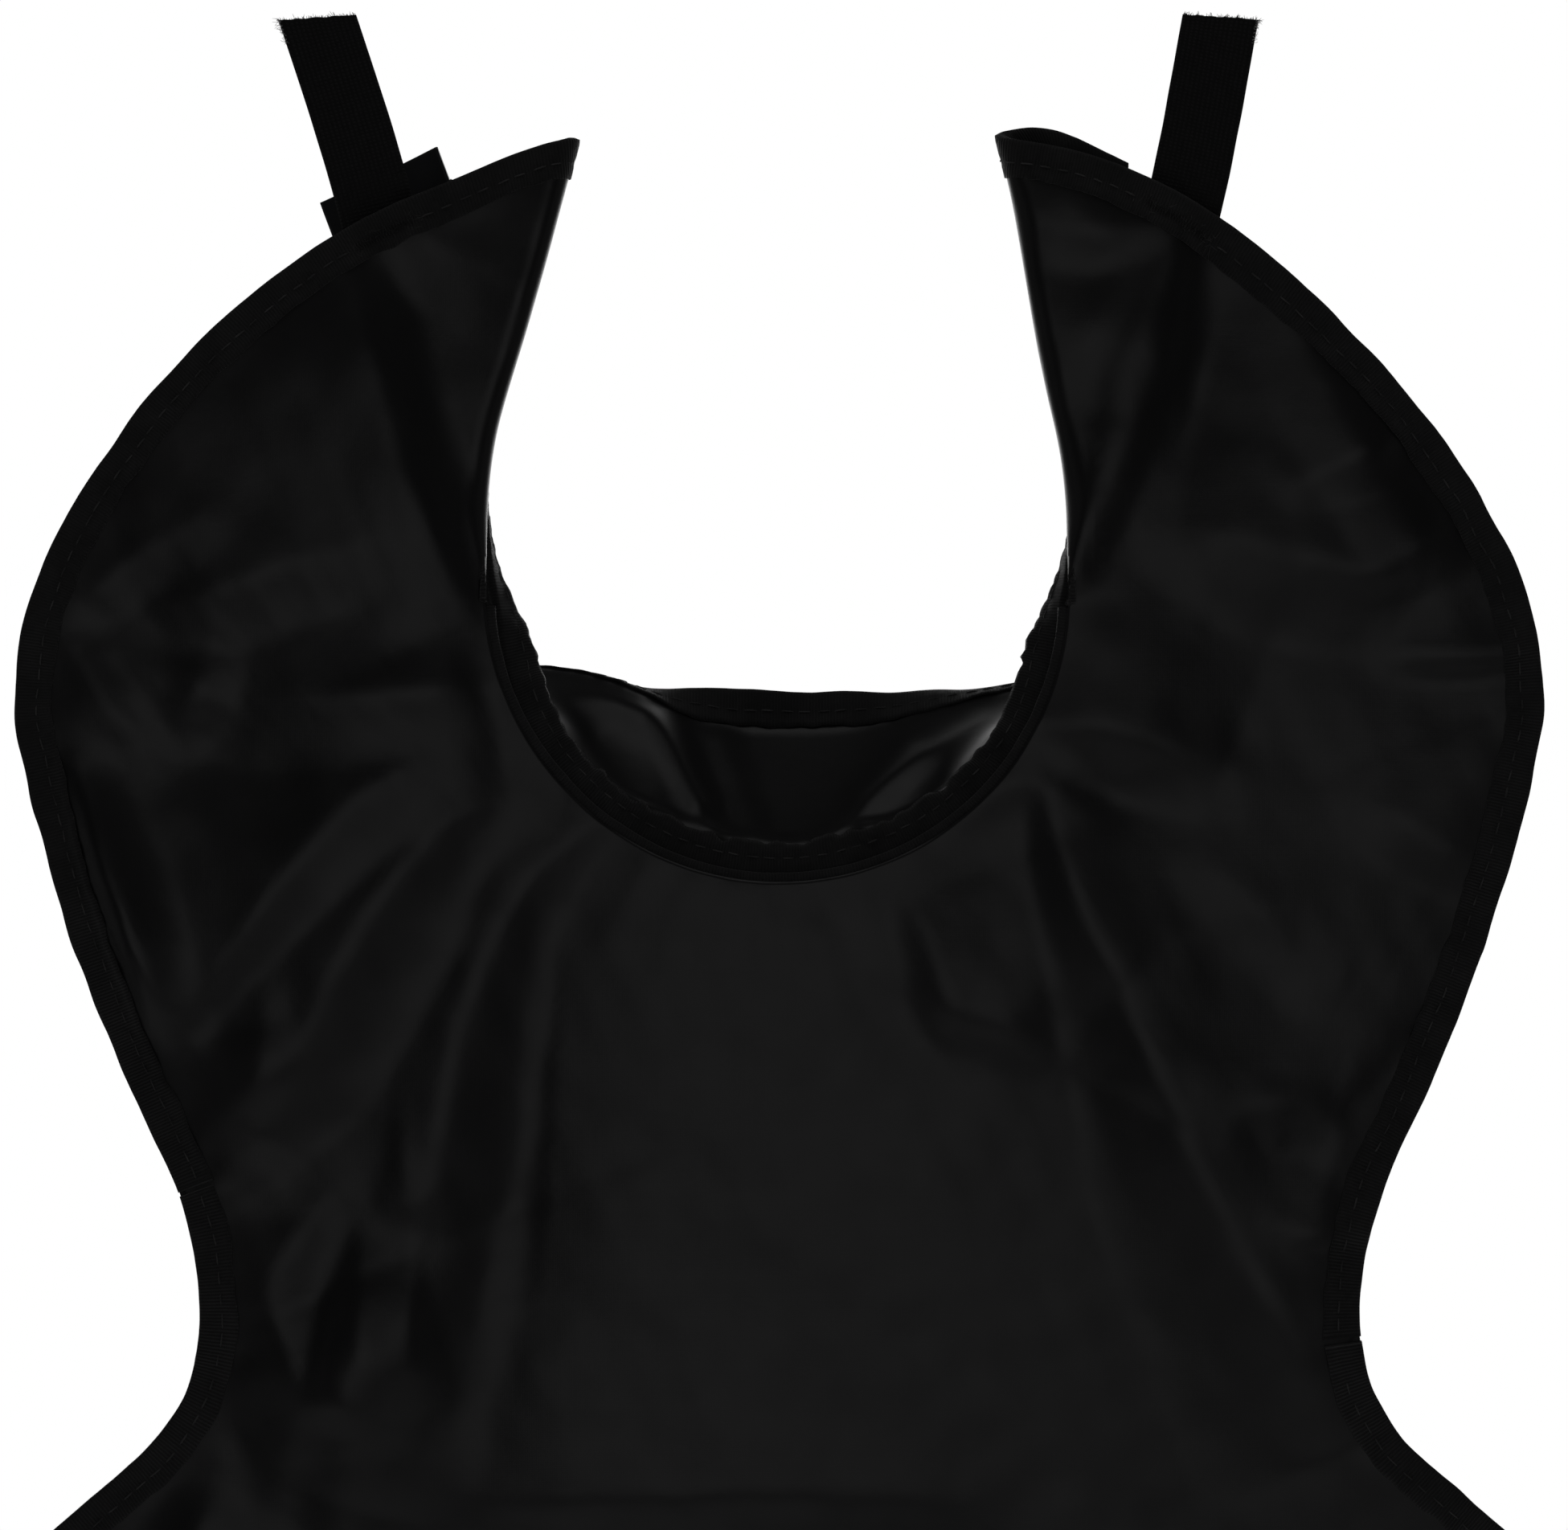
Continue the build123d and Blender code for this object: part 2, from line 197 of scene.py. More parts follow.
def flap_top(side):
    """The shoulder edge carried on round the roll and along the top of the flap behind."""
    top_z, points = TIP[1], []
    rise = 7.5 if side > 0 else 1.0  # how far the flap's top shows above the shoulder in front
    past = 0.0
    end = flap_end(np.array([top_z]))[0] + ROLL_RADIUS
    while past < end:
        x = neck_edge(top_z) + ROLL_RADIUS - past
        across, depth = rolled(np.array([x]), np.array([top_z]))
        behind = smooth(depth[0], 0, 2 * ROLL_RADIUS)
        lift = behind * rise * math.exp(-(((across[0] - 90) / 19) ** 2))
        points.append([x, np.interp(-across[0], -SHOULDER[:, 0], SHOULDER[:, 1]) + lift])
        past += 1.5
    return np.array(points)


def seam_side():
    """The flap's seam edge from its top down to the bowl, then round to the middle."""
    z = np.arange(-47.0, -192.0, -2.0)
    seam = np.column_stack([neck_edge(z) - flap_end(z), z])
    turns = np.radians(np.arange(0, -90.1, -1.4))
    bowl = np.column_stack([np.cos(turns), np.sin(turns)]) * NECK_RADIUS + [0, NECK_CENTRE_Z]
    return seam, bowl


def half_pattern(side):
    """One half's outer edge, from the hem to the end of the flap's top; then the rest of its edge."""
    front = WING[WING[:, 0] > TIP[0] + ROLL_RADIUS + 1.6]
    outer = resampled(np.vstack([skirt_line()[:-1], front, flap_top(side)]), 2.0)
    seam, bowl = seam_side()
    seam = seam[seam[:, 1] < outer[-1, 1] - 1.5]
    return outer * [side, 1], np.vstack([seam, bowl]) * [side, 1]


# ---- folds, picked from the photograph -----------------------------------------------------------
# Each is the crest of a fold: a run of (x, z, height towards the viewer, width of its steep side).
# One photograph doesn't show heights, so they are estimates that give about its light and dark.
# The side on the left of the run is the steep one, and the other side falls away gently.
PLEATS = (
    # left wing, upper part
    ((-144, -86, 2, 5), (-137, -112, 4.5, 8), (-129, -140, 5, 9), (-120, -165, 4.5, 8), (-103, -202, 1, 4)),
    ((-138, -174, 1, 8), (-165, -182, 2.6, 9), (-190, -191, 3, 9), (-212, -199, 1, 6)),
    ((-195, -166, 1, 6), (-215, -180, 2, 6), (-236, -198, 1, 5)),
    ((-190, -208, 1, 5), (-194, -222, 2.4, 6), (-200, -238, 1, 5)),
    ((-236, -214, 1, 4), (-226, -228, 2.2, 5), (-212, -248, 1, 5)),
    ((-92, -222, 1.6, 8), (-120, -224, 3.6, 9), (-150, -226, 3.6, 10), (-180, -228, 2.6, 9),
     (-205, -228, 1, 7)),
    # left wing, the folds that fan out from the neck
    ((-92, -240, 1, 8), (-106, -243, 3, 11), (-133, -253, 4.4, 10), (-162, -282, 4.2, 8), (-195, -329, 1, 4)),
    ((-88, -260, 1, 6), (-106, -266, 3.6, 8), (-124, -279, 6.5, 11), (-139, -300, 8, 13),
     (-153, -326, 7.6, 13), (-165, -349, 6, 12), (-177, -370, 3.6, 9), (-188, -386, 1, 6)),
    ((-64, -270, 1, 4), (-79, -282, 2.6, 6), (-91, -299, 3.6, 8), (-103, -324, 4.6, 11),
     (-111, -347, 5, 12), (-116, -375, 5, 12), (-121, -400, 4.4, 11), (-124, -430, 4, 10),
     (-118, -480, 1, 8)),
    ((-94, -460, -1, 9), (-87, -420, -2, 10), (-84, -380, -2.6, 11), (-84, -340, -2, 10), (-80, -300, -1, 6)),
    ((-233, -252, 1, 5), (-222, -288, 3.5, 7), (-213, -315, 3.5, 7), (-203, -338, 1, 6)),
    ((-204, -346, 1, 3), (-213, -318, 4.5, 3.4), (-221, -296, 4.5, 3.4), (-235, -250, 1, 3)),
    ((-172, -330, 1, 4), (-173, -352, 2.2, 5), (-188, -369, 1, 5)),
    # left side, below the waist
    ((-150, -392, 1, 5), (-160, -404, 3, 7), (-170, -425, 3, 8), (-166, -445, 1, 6)),
    ((-141, -398, 1.5, 6), (-139, -420, 3, 8), (-139, -450, 4, 9), (-141, -480, 3.4, 9),
     (-146, -520, 3, 10), (-150, -600, 1, 12)),
    ((-146, -500, 1, 6), (-143, -470, 2, 6), (-141, -440, 2, 6), (-141, -420, 1, 5)),
    ((-166, -492, 1, 6), (-160, -470, 3.4, 9), (-161, -450, 3.4, 9), (-168, -432, 1, 6)),
    ((-116, -392, 0.4, 5), (-126, -394, 1.1, 5), (-136, -392, 0.4, 5)),
    ((-110, -446, 0.3, 7), (-123, -448, 1.2, 8), (-136, -446, 0.3, 7)),
    ((-140, -460, 0.3, 5), (-150, -461, 1.2, 5), (-160, -458, 0.3, 5)),
    ((-204, -530, 1, 8), (-192, -505, 2.6, 7), (-184, -490, 1, 6)),
    ((60, -494, 1, 8), (20, -492, 2.6, 9), (-40, -492, 3.4, 10), (-90, -494, 2.4, 9), (-112, -490, 1, 8)),
    # right wing, upper part
    ((130, -74, 0.8, 3), (108, -76, 1.8, 5), (84, -72, 1.4, 5), (76, -68, 0.6, 4)),
    ((133, -80, 1, 5), (128, -112, 2.4, 6), (121, -136, 1, 6)),
    ((216, -186, 1, 8), (195, -184, 3.2, 11), (172, -178, 4.4, 13), (150, -172, 3.4, 12), (132, -168, 1, 9)),
    ((212, -136, 1, 5), (193, -146, 2.6, 6), (174, -154, 1, 5)),
    ((230, -166, 1, 5), (214, -176, 2.6, 7), (196, -186, 1, 5)),
    ((244, -212, 1.4, 3.4), (225, -213, 2, 4), (206, -212, 0.8, 4)),
    # right wing, the folds that fan out from the neck
    ((150, -250, 0.8, 8), (130, -243, 3, 9), (108, -236, 4, 9), (88, -236, 2, 7)),
    ((190, -478, 3, 20), (175, -446, 8, 19), (156, -413, 9, 17), (142, -385, 8.6, 15),
     (128, -355, 7.4, 12), (112, -318, 5.6, 9), (98, -287, 3.6, 6), (90, -262, 1.6, 4)),
    ((62, -346, 0.8, 4), (57, -330, 2.2, 6), (51, -308, 2, 5), (45, -294, 0.8, 4)),
    ((92, -350, 0.8, 6), (78, -338, 1.8, 7), (62, -332, 0.8, 5)),
    ((178, -318, 0.8, 7), (160, -298, 1.2, 7), (143, -279, 0.6, 6)),
    ((236, -284, 1, 6), (216, -272, 2, 7), (198, -261, 0.8, 6)),
    ((186, -372, 0.8, 6), (170, -360, 2.4, 9), (154, -364, 2, 8), (146, -378, 0.6, 6)),
    ((190, -406, 1, 3), (178, -406, 1.4, 4), (168, -402, 0.6, 4)),
    ((230, -540, 1, 12), (222, -505, 2.6, 12), (206, -475, 1, 9)),
)
# Creases that are as steep on both sides.
CREASES = (
    ((-189, -393, 1.4, 3), (-168, -385, 1.0, 5), (-148, -382, 0.5, 6)),
    ((-120, -74, 1, 4), (-88, -92, 1.2, 5)),
    ((-126, -92, -1, 5), (-95, -112, -1.2, 6)),
    ((-75, -72, 1.4, 8), (-88, -112, 1.2, 10)),
    ((129, -75, 1.6, 7), (110, -96, 2, 7), (97, -118, 1, 6)),
    ((130, -84, 1.6, 4), (116, -117, 2.6, 5), (110, -147, 3, 5), (98, -184, 3, 4)),
    ((126, -105, 1, 5), (118, -140, 1.8, 6), (104, -184, 1, 5)),
    ((60, -270, 0.6, 5), (74, -259, 1.8, 5), (86, -254, 2.6, 5), (97, -262, 1.6, 5)),
    ((94, -68, 1, 4), (106, -75, 1, 5)),
    ((-16, -291, 0.5, 2.2), (-20, -318, 0.2, 3.5)),
    ((-7, -291, 0.5, 2.0), (-5, -326, 0.2, 3.5)),
    ((-30, -290, 0.4, 2.4), (-40, -316, 0.2, 4)),
    ((8, -292, 0.4, 2.2), (14, -322, 0.2, 4)),
    ((-44, -284, 0.5, 2.6), (-58, -306, 0.3, 4)),
    ((24, -290, 0.4, 2.4), (36, -314, 0.2, 4)),
)
BELLY_WIDTH, BELLY = 95.0, 4.0  # the broad lit front of the panel below the neck
PLEAT_GAIN = 1.75
GENTLE = 3.4  # how much wider a fold's gentle side is than its steep side
SHOULDER_LEAN = 3.5  # how far the tops of the wings lean back

COLLAR_FOLDS = (
    ((-74, -226, 1.5, 5), (-44, -236, 3.2, 3.4), (-27, -264, 2.4, 3)),
    ((-64, -242, -2.6, 5), (-52, -262, -2.6, 4)),
    ((-47, -238, 1.4, 3), (-18, -280, 1.8, 2.6)),
    ((-20, -242, 1.2, 3.6), (-8, -277, 1.6, 3)),
    ((70, -236, 1.6, 4), (42, -254, 2.8, 3), (16, -278, 2.2, 2.8)),
    ((58, -258, -2.8, 5), (34, -272, -2.4, 4)),
    ((46, -247, 1.2, 3), (28, -262, 1.2, 2.6)),
)


def sines(x, z, wavelength, seed, count=7):
    """A smooth seeded ripple, about -1 to 1."""
    random = np.random.default_rng(seed)
    total = np.zeros(np.shape(x))
    for _ in range(count):
        turn, phase = random.uniform(0, 2 * math.pi, 2)
        wave = 2 * math.pi / (wavelength * random.uniform(0.7, 1.5))
        total += np.sin(wave * (x * math.cos(turn) + z * math.sin(turn)) + phase)
    return total / count * 1.6


def spline(points, count=600):
    """A smooth run of points through a few given ones."""
    points = np.array(points, float)
    marks = marks_along(points)
    slopes = np.gradient(points, marks, axis=0)
    at = np.linspace(0, marks[-1], count)
    span = np.clip(np.searchsorted(marks, at, side="right") - 1, 0, len(marks) - 2)
    width = (marks[span + 1] - marks[span])[:, None]
    t = (at - marks[span])[:, None] / width
    ends = (2 * t**3 - 3 * t**2 + 1) * points[span] + (3 * t**2 - 2 * t**3) * points[span + 1]
    bends = (t**3 - 2 * t**2 + t) * slopes[span] + (t**3 - t**2) * slopes[span + 1]
    return ends + bends * width


def fold_height(x, z, run, gentle=0.0, blunt=0.5):
    """The height of one fold: steep on the left of its run, and wider by gentle on the right."""
    line = spline(run, 6 * len(run))
    best, total = np.full(np.shape(x), np.inf), np.zeros(np.shape(x))
    for (x0, z0, height, width), (x1, z1, height_on, width_on) in zip(line, line[1:]):
        step_x, step_z = x1 - x0, z1 - z0
        length = math.hypot(step_x, step_z)
        share = np.clip(((x - x0) * step_x + (z - z0) * step_z) / length**2, 0, 1)
        away = np.hypot(x - x0 - share * step_x, z - z0 - share * step_z)
        left = (step_x * (z - z0) - step_z * (x - x0)) / length / np.maximum(away, 1e-6)
        narrow = width + share * (width_on - width)
        out = np.hypot(away, blunt * narrow) - blunt * narrow
        steep = np.clip(1 - out / (2.3 * narrow), 0, 1) ** 1.4
        value = steep + (np.exp(-out / (narrow + gentle * (narrow + 8.0))) - steep) * (1 - left) / 2
        total = np.where(away < best, value * (height + share * (height_on - height)), total)
        best = np.minimum(best, away)
    return total


def folded(x, z, folds, gentle=0.0, blunt=0.5):
    """The height of a set of folds, towards the viewer."""
    return sum(fold_height(x, z, run, gentle, blunt) for run in folds)


class HeightMap:
    """A function of (x, z) sampled once on a grid, then read smoothly between its points."""

    def __init__(self, function, low, high, step):
        self.low, self.step = np.array(low, float), step
        x, z = (np.arange(a, b + step, step) for a, b in zip(low, high))
        self.values = function(*np.meshgrid(x, z, indexing="ij"))

    def at(self, x, z):
        place = (np.column_stack([np.ravel(x), np.ravel(z)]) - self.low) / self.step
        place = np.clip(place, 1, np.array(self.values.shape) - 3.001)
        cell = np.floor(place).astype(int)
        t = place - cell
        weights = [(-t + 2 * t**2 - t**3) / 2, (2 - 5 * t**2 + 3 * t**3) / 2,
                   (t + 4 * t**2 - 3 * t**3) / 2, (t**3 - t**2) / 2]
        total = 0.0
        for i in range(4):
            for j in range(4):
                taken = self.values[cell[:, 0] + i - 1, cell[:, 1] + j - 1]
                total = total + weights[i][:, 0] * weights[j][:, 1] * taken
        return total.reshape(np.shape(x))


def standing(x, z):
    """How far the hanging panel stands towards the viewer."""
    height = PLEAT_GAIN * folded(x, z, PLEATS, GENTLE, blunt=0.4) + folded(x, z, CREASES, blunt=0.8)
    height += BELLY * np.exp(-((x / BELLY_WIDTH) ** 2)) * smooth(-z, 270, 400)
    height -= SHOULDER_LEAN * smooth(z, -250, -60) * smooth(np.abs(x), 40, 140)
    flutes = np.sin(x / 23.0 + 0.8) + 0.6 * np.sin(x / 14.5 + 2.0)
    height += 2.6 * flutes * smooth(-z, 480, 700)
    height += 0.5 * sines(x, z, 46, 3) + 0.16 * sines(x, z, 15, 4)
    return height


def levelled(x, z):
    """The folds without their broad swell, so that they stay close to the flat panel."""
    height = standing(x, z)
    near = np.exp(-((np.arange(-60, 61) * RELIEF_STEP / 55.0) ** 2))
    swell = height
    for axis in (0, 1):
        padded = np.pad(swell, [(60, 60) if a == axis else (0, 0) for a in (0, 1)], mode="edge")
        swell = np.apply_along_axis(np.convolve, axis, padded, near / near.sum(), "valid")
    return height - 0.85 * swell - x * x / (2 * BOW_RADIUS)


RELIEF_STEP = 2.0
RELIEF = HeightMap(levelled, (-340.0, -770.0), (340.0, 10.0), RELIEF_STEP)


def hung(pattern):
    """Where pattern points of the front face lie in space."""
    x, z = pattern[:, 0], pattern[:, 1]
    across, depth = rolled(x, z)
    raised = LEFT_TIP_RISE * smooth(-across, 122, 70) * smooth(z, -112, -58)
    aside = (4.0 * smooth(z, -140, -55) - 1.2) * smooth(-np.abs(across), -135, -85) * smooth(z, -290, -190)
    ripple = 0.5 * sines(across, z, 24, 5) * smooth(np.abs(across), 150, 185)
    return np.column_stack([across + aside + ripple, depth - RELIEF.at(across, z), z + raised])


def facing(pattern):
    """Where pattern points of the front face lie, and the unit directions out of it."""
    reach, place = 0.4, hung(pattern)
    front = np.cross(hung(pattern + [reach, 0]) - place, hung(pattern + [0, reach]) - place)
    return place, unit(front)


def panel(pattern, depth=0.0):
    """Where pattern points lie, a depth into the laminate from its front face."""
    place, front = facing(np.asarray(pattern, float))
    return place - front * np.reshape(depth, (-1, 1))


# ---- meshes -------------------------------------------------------------------------------------
def add_mesh(name, points, faces, finish, uv=None):
    """A smooth-shaded piece from points in millimetres; uv is millimetres too, one per point."""
    mesh = bpy.data.meshes.new(name)
    mesh.from_pydata((np.asarray(points) * MM).tolist(), [], [list(map(int, f)) for f in faces])
    mesh.polygons.foreach_set("use_smooth", [True] * len(mesh.polygons))
    if uv is not None:
        corners = np.zeros(len(mesh.loops), int)
        mesh.loops.foreach_get("vertex_index", corners)
        mesh.uv_layers.new(name="UVMap").data.foreach_set("uv", np.asarray(uv)[corners].ravel())
    mesh.materials.append(finish)
    mesh.validate()
    piece = bpy.data.objects.new(name, mesh)
    bpy.context.scene.collection.objects.link(piece)
    return piece


def place_piece(piece, slot, *nodes, body="apron"):
    """Puts a piece on the body it rides on and hides the CAD nodes it stands for; slot is not used."""
    if body:
        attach(piece, body)
    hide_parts(*nodes)
    return piece


def inside(points, polygon):
    """Which points lie inside a closed polygon."""
    found = np.zeros(len(points), bool)
    x, z = points[:, 0], points[:, 1]
    for (x0, z0), (x1, z1) in zip(polygon, np.roll(polygon, -1, axis=0)):
        if z0 != z1:
            crossing = (z0 > z) != (z1 > z)
            found ^= crossing & (x < (x1 - x0) * (z - z0) / (z1 - z0) + x0)
    return found


def clearance(points, line):
    """Distance from each point to the nearest point of a dense line."""
    nearest = np.full(len(points), np.inf)
    for start in range(0, len(line), 200):
        part = line[start : start + 200]
        gaps = np.linalg.norm(points[:, None] - part[None], axis=2)
        nearest = np.minimum(nearest, gaps.min(axis=1))
    return nearest


def hex_grid(low, high, spacing):
    rows = np.arange(low[1], high[1], spacing * 0.866)
    columns = np.arange(low[0], high[0], spacing)
    x, z = np.meshgrid(columns, rows)
    x = x + (np.arange(len(rows)) % 2)[:, None] * spacing / 2
    return np.column_stack([x.ravel(), z.ravel()])


def neck_detail():
    """Closer points where the cloth turns round the roll and along the bowl's edge."""
    z, past = np.meshgrid(np.arange(-188, -44, 2.6), np.arange(-17, 10.5, 1.25))
    x = neck_edge(z) + past
    turns, out = np.meshgrid(np.radians(np.arange(-89, 0, 1.5)), (1.2, 2.6, 4.6))
    radius = NECK_RADIUS + out
    bowl = np.column_stack([(radius * np.cos(turns)).ravel(), (radius * np.sin(turns)).ravel()])
    points = np.vstack([np.column_stack([x.ravel(), z.ravel()]), bowl + [0, NECK_CENTRE_Z]])
    return np.vstack([points, points * [-1, 1]])


def pattern_mesh(edge, fine, coarse, detail=True):
    """Triangles that fill a closed pattern edge: fine in the upper part, coarse in the skirt."""
    special = neck_detail() if detail else np.zeros((0, 2))
    special = special[inside(special, edge)]
    special = special[clearance(special, edge) > 0.8]
    upper = hex_grid((-262, -525), (262, -36), fine)
    lower = hex_grid((-306, -732), (306, -525 - coarse * 0.6), coarse)
    wide = hex_grid((-306, -525), (306, -440), fine)
    grid = np.vstack([upper, lower, wide[np.abs(wide[:, 0]) > 263]])
    grid = grid[inside(grid, edge)]
    grid = grid[clearance(grid, edge) > 0.55 * fine]
    near = np.abs(grid[:, 0]) < 130
    far = np.ones(len(grid), bool)
    far[near] = clearance(grid[near], special) > 0.75 * fine
    grid = grid[far]
    points = np.vstack([edge, special, grid])
    loop = [list(range(len(edge)))]
    found = delaunay_2d_cdt([Vector(p) for p in points], [], loop, 1, 1e-4)
    return np.array([list(v) for v in found[0]]), np.array([list(f) for f in found[2]])


def rim_edges(triangles):
    """Directed edges that belong to only one triangle."""
    edges = triangles[:, [0, 1, 1, 2, 2, 0]].reshape(-1, 2)
    keys = np.sort(edges, axis=1)
    _, first, count = np.unique(keys, axis=0, return_index=True, return_counts=True)
    return edges[first[count == 1]]


def layer(name, pattern, triangles, surface, near, far, finish):
    """One closed sheet of the laminate between two depths."""
    total, (place, front) = len(pattern), surface
    points = np.vstack([place - front * near, place - front * far])
    rim = rim_edges(triangles)
    sides = np.column_stack([rim[:, 1], rim[:, 0], rim[:, 0] + total, rim[:, 1] + total])
    faces = triangles.tolist() + (triangles[:, ::-1] + total).tolist() + sides.tolist()
    return add_mesh(name, points, faces, finish, np.vstack([pattern, pattern]))


def shrunk(edge, inset):
    """A closed counter-clockwise edge moved inward."""
    along = np.roll(edge, -1, axis=0) - np.roll(edge, 1, axis=0)
    return edge + inset * unit(np.column_stack([-along[:, 1], along[:, 0]]))


def inward_of(points, positive):
    """Unit directions square to a line, on its left if positive is 1."""
    along = np.gradient(points, axis=0)
    return positive * unit(np.column_stack([-along[:, 1], along[:, 0]]))


# ---- seam lines that tape and thread follow --------------------------------------------------------
class PanelLine:
    """A line on the pattern. at() gives points at a distance along it, inset from it, at a depth."""

    def __init__(self, points, positive=1):
        self.points = resampled(points, 1.5)
        self.marks = marks_along(self.points)
        self.inward = inward_of(self.points, positive)
        self.length = self.marks[-1]

    def pattern(self, distance, inset):
        columns = [np.interp(distance, self.marks, c) for c in np.hstack([self.points, self.inward]).T]
        return np.column_stack(columns[:2]) + np.column_stack(columns[2:]) * np.reshape(inset, (-1, 1))

    def at(self, distance, inset, depth):
        return panel(self.pattern(distance, inset), depth)

    def part(self, keep):
        """The distances along the stretch whose pattern points satisfy keep."""
        marks = self.marks[keep(self.points)]
        return marks[0], marks[-1]


def tape(name, line, span, profile, finish, ruffle=0.0, seed=1):
    """A tape swept along a line. profile is a closed run of (inset, depth, share of the ruffle)."""
    along = np.linspace(*span, 2 + int((span[1] - span[0]) / 1.6))
    wobble = ruffle * (sines(along, 0, 15, seed) + 0.5 * sines(along, 0, 6.5, seed + 9))
    puff = ruffle * sines(along, 0, 11, seed + 5)
    rings, uv, across = [], [], 0.0
    for (inset, depth, share), (next_inset, next_depth, _) in zip(profile, profile[1:] + profile[:1]):
        side = -1 if depth < LAMINATE / 2 else 1
        rings.append(line.at(along, inset + wobble * share, depth + side * np.abs(puff) * share * 0.8))
        uv.append(np.column_stack([along, np.full(len(along), across)]))
        across += math.hypot(next_inset - inset, next_depth - depth)
    faces = swept_faces(len(profile), len(along), strip_cap)
    return add_mesh(name, np.vstack(rings), faces, finish, np.vstack(uv))


def swept_faces(rows, total, cap):
    """Faces of a closed tube made of rows of points; cap turns the ring at an end into faces."""
    faces, steps, ring = [], np.arange(total - 1), np.arange(rows) * total
    for near, far in zip(ring, np.roll(ring, -1)):
        faces += np.column_stack([near + steps, near + steps + 1, far + steps + 1, far + steps]).tolist()
    return faces + cap(ring[::-1].tolist()) + cap((ring + total - 1).tolist())


def strip_cap(ring):
    """Quads across the end of a folded tape, whose ring runs out along one side and back."""
    half = len(ring) // 2
    return [[ring[i], ring[i + 1], ring[-2 - i], ring[-1 - i]] for i in range(half - 1)]


def tape_profile(width, near, far, edge=0.0, stitch=None):
    """A tape folded round an edge: its outer side from front to back, then its inner side."""
    shares = (1.0, 0.86, 0.72, 0.62, 0.54, 0.4, 0.22, 0.08)
    insets = [edge + width * share for share in shares]
    dips = [0.16 if stitch and abs(i - stitch) < 0.9 else 0.0 for i in insets]
    loose = (1.0, 0.8, 0.4, 0.1, 0.3, 0.3, 0.2, 0.15)
    middle = (near + far) / 2
    outer = [(i, near - TAPE + d, s) for i, d, s in zip(insets, dips, loose)]
    outer += [(edge - TAPE * 0.6, near - TAPE * 0.6, 0.15), (edge - TAPE, middle, 0.15)]
    outer += [(edge - TAPE * 0.6, far + TAPE * 0.6, 0.15)]
    outer += [(i, far + TAPE - d, s) for i, d, s in zip(insets, dips, loose)][::-1]
    inner = [(i, near + d * 0.5, s) for i, d, s in zip(insets, dips, loose)]
    inner += [(edge, near, 0.15), (edge + 0.05, middle, 0.15), (edge, far, 0.15)]
    inner += [(i, far - d * 0.5, s) for i, d, s in zip(insets, dips, loose)][::-1]
    return outer + inner[::-1]


def tube(path, radius, sides=6):
    """Points and faces of a thin closed tube with tapered ends."""
    path = np.asarray(path)
    along = unit(np.gradient(path, axis=0))
    across = unit(np.cross(along, [0.3, 0.9, 0.2]))
    other = np.cross(along, across)
    swell = np.full((len(path), 1), radius)
    swell[[0, -1]] *= 0.45
    turns = 2 * math.pi * np.arange(sides) / sides
    points = [path + (across * math.cos(turn) + other * math.sin(turn)) * swell for turn in turns]
    return np.vstack(points), swept_faces(sides, len(path), lambda ring: [ring])


def joined(name, parts, finish):
    """Many small meshes as one piece."""
    points, faces, total = [], [], 0
    for some, their_faces in parts:
        points.append(some)
        faces += [[i + total for i in face] for face in their_faces]
        total += len(some)
    return add_mesh(name, np.vstack(points), faces, finish)


def stitch_parts(line, span, inset, surface, side, seed, skip=(0, 0)):
    """Lockstitches along a line on one face of a tape; side is -1 on the front face."""
    random, shares = np.random.default_rng(seed), np.linspace(0, 1, 6)
    count = int((span[1] - span[0] - 6) / STITCH_PITCH)
    start = span[0] + 1.5 + STITCH_PITCH * (np.arange(count) + random.uniform(-0.1, 0.1, count))
    start = start[(start < skip[0] - STITCH_LENGTH) | (start > skip[1])][:, None]
    along = start + shares * STITCH_LENGTH * random.uniform(0.88, 1.08, start.shape)
    slant = (shares - 0.5) * random.uniform(-0.3, 0.3, start.shape)
    shift = inset + random.uniform(-0.12, 0.12, start.shape) + slant
    rise = 0.16 * (1 - (2 * shares - 1) ** 4) - 0.2 * (np.abs(2 * shares - 1) > 0.9)
    depth = surface + side * (rise + random.uniform(-0.06, 0.03, start.shape))
    paths = line.at(along.ravel(), shift.ravel(), depth.ravel()).reshape(-1, 6, 3)
    return [tube(path, random.uniform(0.2, 0.26)) for path in paths]


# ---- finishes -----------------------------------------------------------------------------------
def add_node(tree, kind, settings=None, **inputs):
    """A node with its inputs linked or set: an underscore is a space, and i0 is the first input."""
    made = tree.nodes.new(kind)
    for key, value in (settings or {}).items():
        setattr(made, key, value)
    for key, value in inputs.items():
        socket = made.inputs[int(key[1:])] if key[1:].isdigit() else made.inputs[key.replace("_", " ")]
        if isinstance(value, bpy.types.NodeSocket):
            tree.links.new(value, socket)
        else:
            socket.default_value = value
    return made


